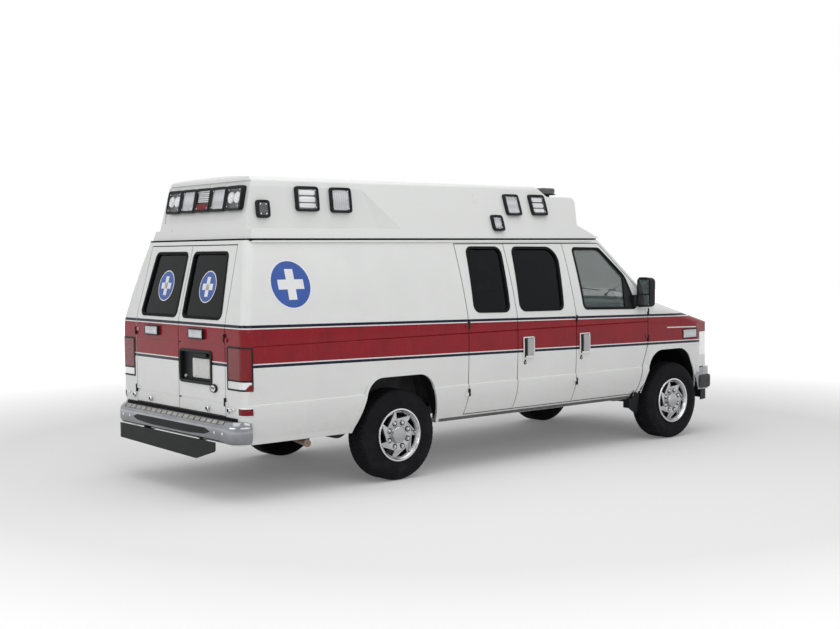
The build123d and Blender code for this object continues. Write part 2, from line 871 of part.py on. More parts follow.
left_well = front_door_back - 30
right_well = rear_leaf_back - 30
step_front = front_axle_x - 600
cot_hole_radius = 5.5
cot_hole_x = rear_axle_x + 400
cot_hole_spacing = (250, 150)
floor_pan = floor_half(left_well) + other_side(floor_half(right_well))
floor_pan = floor_pan - [
    Pos(cot_hole_x + i * cot_hole_spacing[0] / 2, j * cot_hole_spacing[1] / 2, floor_z)
    * Cylinder(cot_hole_radius, 3 * floor_thickness)
    for i in (-1, 1)
    for j in (-1, 1)
]
save("floor_pan", floor_pan)
save("side_steps", step_well(left_well, step_front) + other_side(step_well(right_well, step_front)))

# Roof cap, its rear part set in above a ledge
seal_height = 14
cap_low_z = gutter_z + seal_height
cap_half = 797
cap_wall = 30
cap_top_z = 2520
cap_shoulder_z = cap_top_z - 23
cap_shoulder_half = 632
cap_front_top_z = cap_top_z - 118
cap_back_x = rear_axle_x - 1300
cap_back_lean = 104
cap_front_x = rear_axle_x + 2616
cap_step_x = rear_axle_x + 1990


def cap_form(shift):
    """The roof cap's outside, or its inside when shifted."""
    low = cap_low_z - (1 if shift else 0)
    side = outline([
        (cap_back_x + shift, low, 0),
        (cap_back_x + cap_back_lean + shift, cap_top_z - shift, 45),
        (cap_step_x - 90 + shift / 2, cap_top_z - shift, 90),
        (cap_step_x + 60 + shift / 2, cap_front_top_z - shift, 30),
        (cap_front_x - 191 - shift, cap_front_top_z - shift, 45),
        (cap_front_x - 250 - shift, 2134 - shift / 2, 25),
        (cap_front_x - 184 - shift, 2106 - shift, 20),
        (cap_front_x - shift, 2018 - shift, 0),
        (cap_front_x - shift, low, 0),
    ])
    crown_start = (cap_shoulder_half - shift, cap_shoulder_z - shift)
    face = make_face([
        Line((0, low), (cap_half - shift, low)),
        Line((cap_half - shift, low), crown_start),
        ThreePointArc(crown_start, (crown_start[0] * 0.52, cap_top_z - 6 - shift), (0, cap_top_z - shift)),
        Line((0, cap_top_z - shift), (0, low)),
    ])
    corner = [v for v in face.vertices() if abs(v.Y - crown_start[0]) < 1 or abs(v.X - crown_start[0]) < 1]
    face = fillet(corner, 60 - shift)
    return prism_x(face, rear_x, front_x) & prism_y(side, 0, half_width)


cap_slope = (cap_half - cap_shoulder_half) / (cap_shoulder_z - cap_low_z)


def cap_side_y(z):
    """Half width of the cap's side at a height."""
    return cap_half - cap_slope * (z - cap_low_z)


recess_top_z = cap_top_z - 99
ledge_z = cap_low_z + 82
ledge_depth = 70
ledge_slope = 20


def cap_recess(grow):
    """The room cut out of the cap's side above the ledge, as far as a slanting face, grown inwards."""
    face = outline([
        (cap_side_y(recess_top_z) - grow, recess_top_z + grow, 0),
        (cap_side_y(ledge_z) - ledge_depth - grow, ledge_z - grow, 0),
        (half_width, ledge_z - ledge_slope - grow, 0),
        (half_width, recess_top_z + grow, 0),
    ])
    apex = Vector(rear_axle_x - 140 + grow, cap_side_y(recess_top_z), recess_top_z)
    outer_foot = Vector(rear_axle_x + 214 + grow, cap_side_y(ledge_z - ledge_slope), ledge_z - ledge_slope)
    inner_foot = Vector(rear_axle_x + 42 + grow, cap_side_y(ledge_z) - ledge_depth, ledge_z)
    facet = Plane(origin=apex, z_dir=(outer_foot - apex).cross(inner_foot - apex))
    room_cut = prism_x(face, cap_back_x - 100, rear_axle_x + 400)
    halves = [split(room_cut, bisect_by=facet, keep=side).solids()[0] for side in (Keep.TOP, Keep.BOTTOM)]
    return min(halves, key=lambda part: part.center().X)


cap = cap_form(0) - cap_recess(0) - (cap_form(cap_wall) - cap_recess(cap_wall))
rear_panel_half = 645
rear_panel_low_z = cap_low_z + 145
rear_panel_depth = 10
rear_panel = prism_y(
    outline([
        (cap_back_x - 50, cap_low_z, 0),
        (cap_back_x + rear_panel_depth, cap_low_z, 0),
        (cap_back_x + cap_back_lean + rear_panel_depth, cap_top_z, 0),
        (cap_back_x - 50, cap_top_z, 0),
    ]),
    0,
    rear_panel_half,
)
rear_panel = rear_panel & block(rear_x, 0, 0, half_width, rear_panel_low_z, cap_shoulder_z - 30)
save("roof_cap", both(cap - rear_panel))
seal = block(cap_back_x - 20, cap_front_x - 30, 0, cap_half, gutter_z, cap_low_z)
seal = seal - block(cap_back_x + 40, cap_front_x - 90, 0, cap_half - 45, gutter_z, cap_low_z)
save("roof_seal", both(seal))


# Doors and glass
handle_width = 140
handle_low_z = 927
handle_top_z = 1125


def handle(x_low):
    """The raised bezel of a left side door's handle."""
    return side_band(-5, 2) & prism_y(
        outline([
            (x_low, handle_low_z, 12),
            (x_low + handle_width, handle_low_z, 12),
            (x_low + handle_width, handle_top_z, 12),
            (x_low, handle_top_z, 12),
        ]),
        half_width / 2,
        half_width + wall,
    )


strap_notches = [
    block(c.X - 9, c.X + 9, half_width - 60, half_width + 20, c.Z - 33, c.Z + 33) for c in front_leaf_hinges
]
front_door = side_door(front_door_rows, front_window_rows) + handle(front_door_back + 35)
front_door = hang(front_door, front_door_hinges, aft, to_right, True)
save("front_door_left", front_door)
save("front_door_right", other_side(front_door - strap_notches))
pair("front_door_glass", side_glass(front_window_rows))
front_leaf = side_door(front_leaf_rows, front_leaf_window_rows) + handle(leaf_split + 60)
front_leaf = front_leaf - strap_notches
front_leaf = front_leaf + [hinge_half(c, aft, to_right, True) for c in front_leaf_hinges]
save("side_door_front", other_side(front_leaf))
save("side_door_front_glass", other_side(side_glass(front_leaf_window_rows)))
rear_leaf = hang(side_door(rear_leaf_rows, rear_leaf_window_rows), rear_leaf_hinges, forward, to_right, True)
save("side_door_rear", other_side(rear_leaf))
save("side_door_rear_glass", other_side(side_glass(rear_leaf_window_rows)))
door_lamp_low_z = 1227
door_lamp_top_z = 1305
door_lamp_depth = 20
plate_rows = [(42, 890, 12), (513, 890, 12), (513, 1121, 12), (42, 1121, 12)]
plate_depth = 28
plate_rim = 18
plate_face = outline(plate_rows)


def door_lamp(y_low, y_high):
    """A small warning lamp's body on a rear door."""
    face = outline([
        (y_low, door_lamp_low_z, 10), (y_high, door_lamp_low_z, 10),
        (y_high, door_lamp_top_z, 10), (y_low, door_lamp_top_z, 10),
    ])
    return prism_x(face, rear_wall_x - door_lamp_depth, rear_wall_x + skin / 2)


tailgate = hang(rear_door(), rear_door_hinges, to_right, forward, True)
save("rear_door_left", tailgate + door_lamp(316, 536))
plate_ring = grown(plate_face, plate_rim) - plate_face
handle_y, handle_z = 561, 853
handle_boss = extrude(Ellipse(46, 30), amount=16, both=True)
door_handle = Pos(rear_wall_x, handle_y, handle_z) * Rot(Y=90) * Rot(Z=90) * handle_boss
right_tailgate = tailgate + door_lamp(195, 422) + prism_x(plate_ring, rear_wall_x - 8, rear_wall_x + skin / 2)
right_tailgate = right_tailgate - prism_x(plate_face, rear_x, rear_wall_x + plate_depth) + door_handle
save("rear_door_right", other_side(right_tailgate))
pair("rear_door_glass", rear_glass())

# Mirrors
mirror_x = front_door_front - 119
mirror_low_z = 1337
mirror_top_z = 1633
mirror_reach = 171


def door_mirror():
    """A left door mirror: a foot on the door's window corner, two arms and a tall head."""
    head = prism_x(
        outline([
            (half_width - 2, mirror_low_z, 40),
            (half_width - 6 + mirror_reach, mirror_low_z + 8, 40),
            (half_width - 2 + mirror_reach, mirror_top_z - 12, 45),
            (half_width + 6, mirror_top_z, 45),
        ]),
        mirror_x - 50,
        mirror_x + 42,
    )
    head = fillet(head.faces().sort_by(Axis.X)[-1].edges(), 26)
    head = head - block(mirror_x - 60, mirror_x - 42, half_width + 12, half_width + mirror_reach - 18,
                        mirror_low_z + 18, mirror_top_z - 20)
    foot = block(mirror_x - 100, mirror_x + 30, half_width - 90, half_width + 6,
                 mirror_low_z + 8, mirror_low_z + 120)
    foot = foot - cabin_half(-fit)
    arm = block(mirror_x - 25, mirror_x + 25, half_width - 20, half_width + 20,
                mirror_low_z + 40, mirror_low_z + 100)
    return head + foot + (arm - cabin_half(-fit))


pair("mirror", door_mirror())

# Wheels, turned about the axle with the outside of the vehicle up
rim_lip = 16
rim_half = 112
hub_set = -7
cover_rise = 110
cover_spokes = 7
hub_radius = 84


def outward(x, y, z):
    """A place whose z axis points away from the vehicle's middle."""
    return Pos(x, y, z) * Rot(X=-90 if y > 0 else 90)


def spun(face, x, y):
    """A piece turned about the axle from a face of radius and outboard height."""
    return outward(x, y, hub_z) * revolve(Plane.XZ * face, Axis.Z)


def tyre(x, y):
    """A tyre with rounded shoulders."""
    crown, bead = tyre_radius, rim_radius + 2.3
    half = tyre_width / 2
    return spun(outline([
        (bead, 104, 0),
        (bead + 27, 106, 0),
        (300, half, 60),
        (crown - 10, half - 15, 24),
        (crown, half - 42, 0),
        (crown, 42 - half, 0),
        (crown - 10, 15 - half, 24),
        (300, -half, 60),
        (bead + 27, -106, 0),
        (bead, -104, 0),
    ]), x, y)


def polar(radius, clock, corner):
    """A corner of an outline, by its clockwise angle from upwards."""
    return (radius * sin(radians(clock)), radius * cos(radians(clock)), corner)


def wheel(x, y):
    """A steel wheel with its spoked cover."""
    bead = rim_radius + 2
    rim = spun(outline([
        (bead - 12, -rim_half, 0),
        (bead + rim_lip, -rim_half, 0),
        (bead + rim_lip, 5 - rim_half, 0),
        (bead, 5 - rim_half, 0),
        (bead, rim_half - 5, 0),
        (bead + rim_lip, rim_half - 5, 0),
        (bead + rim_lip, rim_half + 2, 3),
        (bead + 4, rim_half + 6, 6),
        (bead - 12, rim_half - 14, 4),
        (bead - 12, hub_set + 12, 0),
        (hub_radius, hub_set + 12, 0),
        (hub_radius, cover_rise - 19, 0),
        (0, cover_rise - 19, 0),
        (0, hub_set, 0),
        (bead - 12, hub_set, 0),
    ]), x, y)
    cover = spun(outline([
        (0, cover_rise - 30, 0),
        (125, cover_rise - 22, 0),
        (bead - 5, cover_rise - 36, 0),
        (bead - 5, cover_rise - 22, 0),
        (125, cover_rise - 10, 30),
        (71, cover_rise - 18, 0),
        (70, cover_rise - 4, 0),
        (60, cover_rise + 7, 12),
        (0, cover_rise + 10, 0),
    ]), x, y)
    slot_face = outline([polar(136, -8, 6), polar(188, -5, 8), polar(190, 16, 0), polar(186, 37, 5)])
    slot = extrude(Plane.XY * slot_face, amount=60)
    vane_face = outline([polar(130, -10, 3), polar(136, -8, 3), polar(190, 38, 3), polar(186, 42, 3)])
    vane = extrude(Plane.XY * vane_face, amount=26)
    place = outward(x, y, hub_z)
    turns = [Rot(Z=-360 / cover_spokes * i) for i in range(cover_spokes)]
    slots = [place * Pos(Z=cover_rise - 60) * turn * slot for turn in turns]
    vanes = [place * Pos(Z=cover_rise - 32) * turn * vane for turn in turns]
    return rim + (cover - slots + vanes)


front_wheel_y = front_track / 2
rear_wheel_y = rear_track / 2
for name, x, y in (("front", front_axle_x, front_wheel_y), ("rear", rear_axle_x, rear_wheel_y)):
    for side, side_y in (("left", y), ("right", -y)):
        save(f"tyre_{name}_{side}", tyre(x, side_y))
        save(f"wheel_{name}_{side}", wheel(x, side_y))

# Steering knuckles, beams, springs and rear axle
kingpin_y = front_wheel_y - 81.5
hub_face_y = front_wheel_y + hub_set - fit
knuckle = rod_y(front_axle_x, hub_z, 150, hub_face_y - 28, hub_face_y)
knuckle = knuckle + block(
    front_axle_x - 45, front_axle_x + 45, kingpin_y + 46, hub_face_y - 27, hub_z - 112, hub_z + 58
)
for low in (hub_z - 112, hub_z + 30):
    ear = Pos(front_axle_x, kingpin_y, low + 14) * Cylinder(36, 28)
    ear = ear + block(front_axle_x - 36, front_axle_x + 36, kingpin_y, kingpin_y + 50, low, low + 28)
    knuckle = knuckle + ear
pair("knuckle", knuckle)
beam_low_z = hub_z - 72
beam_top_z = hub_z + 2


def beam(x_low):
    """An axle beam from the left kingpin to its pivot on the right of the frame."""
    boss = Pos(front_axle_x, kingpin_y, hub_z - 27) * Cylinder(38, 2 * (57 - fit))
    bar = block(x_low, x_low + 50, -250, kingpin_y, beam_low_z, beam_top_z)
    bar = bar - block(x_low - 1, x_low + 14, -180, kingpin_y - 90, beam_low_z + 16, beam_top_z - 16)
    hanger = block(x_low + 8, x_low + 42, -250, -200, beam_top_z - 1, rail_low_z + 20 - fit)
    spring = Pos(front_axle_x, spring_y, (beam_top_z + rail_low_z + rail_height) / 2)
    spring = spring * Cylinder(38, rail_low_z + rail_height - beam_top_z)
    seat = block(front_axle_x - 55, front_axle_x + 55, spring_y - 45, spring_y + 38,
                 beam_top_z - 12, beam_top_z)
    return boss + bar + hanger + spring + seat


save("front_axle_beams", beam(front_axle_x - 55) + other_side(beam(front_axle_x + 5)))
axle_radius = 45
rear_hub_face_y = rear_wheel_y + hub_set - fit
leaf_y = 600
leaf_width = 64
leaf_half_length = 640
axle = rod_y(rear_axle_x, hub_z, axle_radius, 0, rear_hub_face_y)
axle = axle + rod_y(rear_axle_x, hub_z, 160, rear_hub_face_y - 70, rear_hub_face_y)
axle = axle + rod_y(rear_axle_x, hub_z, 125, 0, 85)
pack_low, pack_end = hub_z + axle_radius - 2, rail_low_z + 110
spring_face = make_face([
    ThreePointArc(
        (rear_axle_x - leaf_half_length, pack_end), (rear_axle_x, pack_low),
        (rear_axle_x + leaf_half_length, pack_end),
    ),
    Line((rear_axle_x + leaf_half_length, pack_end), (rear_axle_x + leaf_half_length, pack_end + 12)),
    ThreePointArc(
        (rear_axle_x + leaf_half_length, pack_end + 12), (rear_axle_x, pack_low + 44),
        (rear_axle_x - leaf_half_length, pack_end + 12),
    ),
    Line((rear_axle_x - leaf_half_length, pack_end + 12), (rear_axle_x - leaf_half_length, pack_end)),
])
axle = axle + prism_y(spring_face, leaf_y - leaf_width / 2, leaf_y + leaf_width / 2)
for x in (rear_axle_x - leaf_half_length, rear_axle_x + leaf_half_length - 40):
    axle = axle + block(x, x + 40, rail_half + rail_width / 2 + fit, leaf_y + leaf_width / 2, pack_end - 10,
                        rail_low_z + rail_height - fit)
save("rear_axle", both(axle))

# Engine, tank and exhaust
engine_front_x = front_axle_x + 440
engine_length = 760
mount_top_z = rail_low_z + 70
engine = block(engine_front_x - engine_length, engine_front_x, -250, 250, mount_top_z + fit, 1040)
engine = chamfer(engine.edges().filter_by(Axis.X).group_by(Axis.Z)[-1], 110)
save("engine_block", engine & both(block(rear_x, panel_start + 900, 0, 400, 0, gutter_z)))
tank_front_x = rear_axle_x + 1480
tank = block(tank_front_x - 700, tank_front_x, 50, 380, 400, floor_low_z - fit)
save("fuel_tank", fillet(tank.edges().filter_by(Axis.X).group_by(Axis.Z)[0], 60))
pipe_radius = 30
pipe_y = -300
pipe_high_z = 548
pipe_low_z = 395
muffler_x = rear_axle_x + 1600
muffler = Pos(muffler_x + 300, pipe_y, 530) * Rot(Y=90) * Cylinder(70 - fit, 600)
pipe_route = FilletPolyline(
    (muffler_x + 10, pipe_y, pipe_high_z),
    (rear_axle_x - 120, pipe_y, pipe_high_z),
    (rear_axle_x - 460, pipe_y, pipe_low_z),
    (rear_axle_x - 700, pipe_y, pipe_low_z),
    (rear_axle_x - 880, -900, pipe_low_z),
    radius=80,
)
pipe = sweep(Plane(origin=pipe_route @ 0, z_dir=pipe_route % 0) * Circle(pipe_radius), path=pipe_route)
save("exhaust", muffler + pipe)

# Inside the cab and the patient room
dash_face = outline([
    (panel_start - fit, 900, 0),
    (panel_start - fit, 1330, 0),
    (panel_start - 150, 1345, 60),
    (panel_start - 330, 1240, 50),
    (panel_start - 260, 980, 40),
    (panel_start - 90, 900, 0),
])
dash = prism_y(dash_face, 0, half_width) & room
dash = both(dash)
wheel_tilt = Rot(Y=-62)
wheel_centre = Pos(panel_start - 400, 470, 1232)
column = Pos(panel_start - 300, 470, 1175) * wheel_tilt * Cylinder(22, 260)
ring = wheel_centre * wheel_tilt * Torus(185, 15)
spokes = wheel_centre * wheel_tilt * Box(40, 360, 16)
save("dashboard", dash + column + ring + spokes)


def seat(x, y):
    """A bucket seat on its box."""
    base = block(x - 230, x + 200, y - 200, y + 200, floor_z, floor_z + 240)
    cushion = block(x - 250, x + 250, y - 250, y + 250, floor_z + 240, floor_z + 380)
    back = Pos(x - 240, y, floor_z + 620) * Rot(Y=-12) * Box(110, 480, 620)
    head = Pos(x - 315, y, floor_z + 1000) * Rot(Y=-12) * Box(90, 260, 170)
    return base + cushion + back + head


cab_seat_x = front_door_back + 420
save("cab_seats", both(seat(cab_seat_x, 470)))
partition_x = front_door_back - 110
partition = block(partition_x, partition_x + 40, 0, half_width, floor_z, cap_low_z) & room
partition = partition - block(partition_x, partition_x + 40, 0, 280, floor_z, 1850)
save("partition", both(partition))
cabinet_board = 22
cabinet_front_y = 560
cabinet_back_x = rear_wall_x + 300
cabinet_front_x = partition_x - 60
cabinet_top_z = 1900
cabinet_bays = 2
counter_z = 1060
shelf_z = 1480
cabinet = block(cabinet_back_x, cabinet_front_x, cabinet_front_y, half_width, floor_z, cabinet_top_z) & room
cabinet = cabinet - prism_y(rear_arch(42), tub_inner_y - 2, half_width)
bay_length = (cabinet_front_x - cabinet_back_x - cabinet_board) / cabinet_bays
bay_levels = [
    (counter_z + cabinet_board, shelf_z),
    (shelf_z + cabinet_board, cabinet_top_z - cabinet_board),
]
shelf_room = cabin_half(wall + 10 + cabinet_board)
shelf_room = shelf_room - prism_y(rear_arch(42 + cabinet_board), tub_inner_y - 2 - cabinet_board, half_width)
for i in range(cabinet_bays):
    bay_x = cabinet_back_x + cabinet_board + i * bay_length
    for low, top in bay_levels:
        hollow = block(bay_x, bay_x + bay_length - cabinet_board, 0, half_width, low, top)
        cabinet = cabinet - (hollow & shelf_room)
save("patient_cabinet", cabinet)
bench_back_x = rear_wall_x + 260
bench_front_x = rear_leaf_back - 60
bench_top_z = floor_z + 330
bench_edge_y = -500
bench = block(bench_back_x, bench_front_x, -half_width, bench_edge_y, floor_z, bench_top_z)
bench = bench - block(
    bench_back_x + cabinet_board, bench_front_x - cabinet_board, -tub_inner_y + 2 + cabinet_board,
    bench_edge_y - cabinet_board, floor_z, bench_top_z - 80,
)
rest = block(bench_back_x, bench_front_x, -880, -800, bench_top_z, bench_top_z + 430)
bench = (bench + rest) & other_side(room)
bench = bench - prism_y(rear_arch(42), -half_width, -tub_inner_y + 2)
save("bench", bench)
pole_y = -620
pole = Pos(front_door_back - 330, pole_y, (floor_z + cap_top_z) / 2) * Cylinder(16, cap_top_z - floor_z)
under_roof = other_side(cap_form(cap_wall + fit)) + block(rear_x, front_x, -half_width, 0, floor_z, cap_low_z)
save("grab_pole", pole & under_roof)

# Roof lamps on both sides and across the rear, and the light bar
lamp_depth = 30
lamp_floor = 8
lamp_rim = 14
lamp_corner = 24
# x ahead of the rear axle, width, z, height, in the recess or not
side_lamp_rows = [
    (-812, 215, 2230, 197, True),
    (-473, 202, 2222, 203, True),
    (-1186, 114, 2173, 137, True),
    (1464, 179, 2222, 192, False),
    (1789, 193, 2226, 191, False),
    (1253, 128, 2079, 141, False),
]
rear_lamp_width = 226
rear_lamp_pitch = 240
rear_lamp_low_z = 2235
rear_lamp_top_z = 2428
rear_lamp_count = 5


def lamp_face(low, high, z, height, shrink):
    """A lamp's rounded outline, or the smaller one inside its rim."""
    return outline([
        (low + shrink, z + shrink, lamp_corner - shrink / 2),
        (high - shrink, z + shrink, lamp_corner - shrink / 2),
        (high - shrink, z + height - shrink, lamp_corner - shrink / 2),
        (low + shrink, z + height - shrink, lamp_corner - shrink / 2),
    ])


def leaning_face(foot, top, inner, outer):
    """The section of a slab that follows a leaning surface, between two distances in front of it."""
    return outline([
        (foot[0] + inner, foot[1], 0), (foot[0] + outer, foot[1], 0),
        (top[0] + outer, top[1], 0), (top[0] + inner, top[1], 0),
    ])


def side_lamp(row):
    """A lamp housing on the cap's left side, hollow in front."""
    x, width, z, height, in_recess = row
    low, high = rear_axle_x + x, rear_axle_x + x + width
    foot = (cap_side_y(ledge_z) - ledge_depth, ledge_z) if in_recess else (cap_side_y(cap_low_z), cap_low_z)
    rise = 1.1 * (recess_top_z - foot[1])
    top = (foot[0] + 1.1 * (cap_side_y(recess_top_z) - foot[0]), foot[1] + rise)
    slab = prism_x(leaning_face(foot, top, fit, lamp_depth), rear_x, front_x)
    hollow = prism_x(leaning_face(foot, top, lamp_floor, lamp_depth + 1), rear_x, front_x)
    body = prism_y(lamp_face(low, high, z, height, 0), 400, half_width) & slab
    return body - (prism_y(lamp_face(low, high, z, height, lamp_rim), 400, half_width) & hollow)


def rear_lamp(centre):
    """A lamp housing across the cap's rear, hollow in front."""
    low, high = centre - rear_lamp_width / 2, centre + rear_lamp_width / 2
    height = rear_lamp_top_z - rear_lamp_low_z
    foot, top = (cap_back_x, cap_low_z), (cap_back_x + cap_back_lean, cap_top_z)
    slab = prism_y(leaning_face(foot, top, -lamp_depth, rear_panel_depth - fit), -half_width, half_width)
    hollow = prism_y(leaning_face(foot, top, -lamp_depth - 1, -lamp_floor), -half_width, half_width)
    body = prism_x(lamp_face(low, high, rear_lamp_low_z, height, 0), rear_x, 0) & slab
    return body - (prism_x(lamp_face(low, high, rear_lamp_low_z, height, lamp_rim), rear_x, 0) & hollow)


roof_lamps = Compound(children=[side_lamp(row) for row in side_lamp_rows])
save("roof_lamps", both(roof_lamps))
rear_lamps = rear_lamp(0)
for i in range(1, rear_lamp_count):
    rear_lamps = rear_lamps + rear_lamp((i + 1) // 2 * rear_lamp_pitch * (-1) ** i)
save("rear_lamps", rear_lamps)
bar_x = cap_step_x + 230
foot = block(bar_x - 70, bar_x + 70, -480, 480, cap_front_top_z + fit, cap_front_top_z + 36)
domes = block(bar_x - 85, bar_x + 85, -540, 540, cap_front_top_z + 36, cap_front_top_z + 96)
domes = fillet(domes.edges().filter_by(Axis.Y), 22)
save("light_bar", foot + domes)
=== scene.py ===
from math import atan2, ceil, cos, hypot, pi, radians, sin, tan

import bmesh
import bpy
from mathutils import Matrix, Vector
from mathutils.bvhtree import BVHTree


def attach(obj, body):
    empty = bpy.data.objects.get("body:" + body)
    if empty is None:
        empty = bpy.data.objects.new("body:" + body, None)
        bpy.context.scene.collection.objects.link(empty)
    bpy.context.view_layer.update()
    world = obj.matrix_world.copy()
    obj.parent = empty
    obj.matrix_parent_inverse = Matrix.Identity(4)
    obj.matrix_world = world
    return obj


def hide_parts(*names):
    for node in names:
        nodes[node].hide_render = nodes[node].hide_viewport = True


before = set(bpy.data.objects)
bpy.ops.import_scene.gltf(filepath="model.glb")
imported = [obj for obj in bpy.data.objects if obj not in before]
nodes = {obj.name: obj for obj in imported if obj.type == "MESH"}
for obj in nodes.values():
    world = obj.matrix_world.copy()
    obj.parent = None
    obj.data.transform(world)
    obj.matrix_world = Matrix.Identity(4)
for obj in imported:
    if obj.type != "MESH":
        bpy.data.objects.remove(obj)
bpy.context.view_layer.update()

# Metres in the part's frame: x forward, y left, z up. RIGHT and LEFT are the signs of y.
RIGHT, LEFT = -1, 1
SIDES = {RIGHT: "right", LEFT: "left"}
REAR_AXLE, FRONT_AXLE, HUB_Z = -1.34, 2.165, 0.38
BACKWARD, FORWARD = Vector((-1, 0, 0)), Vector((1, 0, 0))
# Where the body's side bends: flat plates are cut there
SIDE_KNEE = 1.34


# ---- Outlines: closed runs of across, up, corner radius ----
def rounded(corners, step=0.012):
    """Points round an outline, its corners rounded in steps."""
    points = []
    for i, (u, v, radius) in enumerate(corners):
        here = Vector((u, v))
        if radius <= 0:
            points.append(here)
            continue
        back = (Vector(corners[i - 1][:2]) - here).normalized()
        ahead = (Vector(corners[(i + 1) % len(corners)][:2]) - here).normalized()
        half = back.angle(ahead) / 2
        centre = here + (back + ahead).normalized() * radius / sin(half)
        start = here + back * radius / tan(half) - centre
        end = here + ahead * radius / tan(half) - centre
        turn = atan2(start.cross(end), start.dot(end))
        steps = max(3, ceil(abs(turn) * radius / step))
        points += [centre + Matrix.Rotation(turn * k / steps, 2) @ start for k in range(steps + 1)]
    return points


def inset(corners, amount):
    """The same outline, moved inwards by an amount, its corner radii fitted."""
    following = corners[1:] + corners[:1]
    area = sum(a[0] * b[1] - b[0] * a[1] for a, b in zip(corners, following))
    turn = 1 if area > 0 else -1
    moved = []
    for before, (u, v, radius), after in zip(corners[-1:] + corners[:-1], corners, following):
        here = Vector((u, v))
        into = (here - Vector(before[:2])).normalized()
        out = (Vector(after[:2]) - here).normalized()
        normal_in = Vector((-into.y, into.x)) * turn
        normal_out = Vector((-out.y, out.x)) * turn
        mitre = (normal_in + normal_out) / max(0.2, 1 + normal_in.dot(normal_out))
        spot = here + mitre * amount
        fitted = radius - amount if into.cross(out) * turn > 0 else radius + amount
        moved.append((spot.x, spot.y, max(fitted, 0.002) if radius else 0))
    return moved


def resample(points, step):
    """The same closed run of points with long edges divided."""
    result = []
    for i, point in enumerate(points):
        following = points[(i + 1) % len(points)]
        parts = max(1, ceil((following - point).length / step))
        result += [point.lerp(following, k / parts) for k in range(parts)]
    return result


def flipped(corners):
    """The outline on the other side of the vehicle's middle."""
    return [(-u, v, radius) for u, v, radius in corners]


def rect(u_low, u_high, v_low, v_high, radius=0.0):
    """A rounded rectangle as an outline."""
    return [(u, v, radius) for u, v in ((u_low, v_low), (u_high, v_low), (u_high, v_high), (u_low, v_high))]


def span(points, axis):
    """The least and the greatest value of points along an axis."""
    values = [p[axis] for p in points]
    return min(values), max(values)


def spread(count, low, high):
    """Evenly spaced numbers from low to high."""
    return [low + (high - low) * k / (count - 1) for k in range(count)]


# ---- Shapes ----
def aimed(point, normal):
    """A place whose z axis is the normal."""
    turn = Vector(normal).normalized().to_track_quat("Z", "Y").to_matrix().to_4x4()
    return Matrix.Translation(Vector(point)) @ turn


def linked(name, data):
    """A new object of the scene."""
    item = bpy.data.objects.new(name, data)
    bpy.context.collection.objects.link(item)
    return item


def bridge(mesh, rings, closed=False, caps=True):
    """Joins rings of points by faces, from the last to the first too if closed, or caps the ends."""
    for a, b in list(zip(rings, rings[1:])) + ([(rings[-1], rings[0])] if closed else []):
        count = max(len(a), len(b))
        for k in range(count):
            n = (k + 1) % count
            corners = dict.fromkeys((a[k % len(a)], a[n % len(a)], b[n % len(b)], b[k % len(b)]))
            if len(corners) > 2:
                mesh.faces.new(list(corners))
    if caps and not closed:
        mesh.faces.new(rings[0])
        mesh.faces.new(rings[-1])


def bevel_edges(mesh, edges, offset):
    """Rounds edges off with two faces."""
    bmesh.ops.bevel(mesh, geom=edges, offset=offset, segments=2, profile=0.6, affect="EDGES")


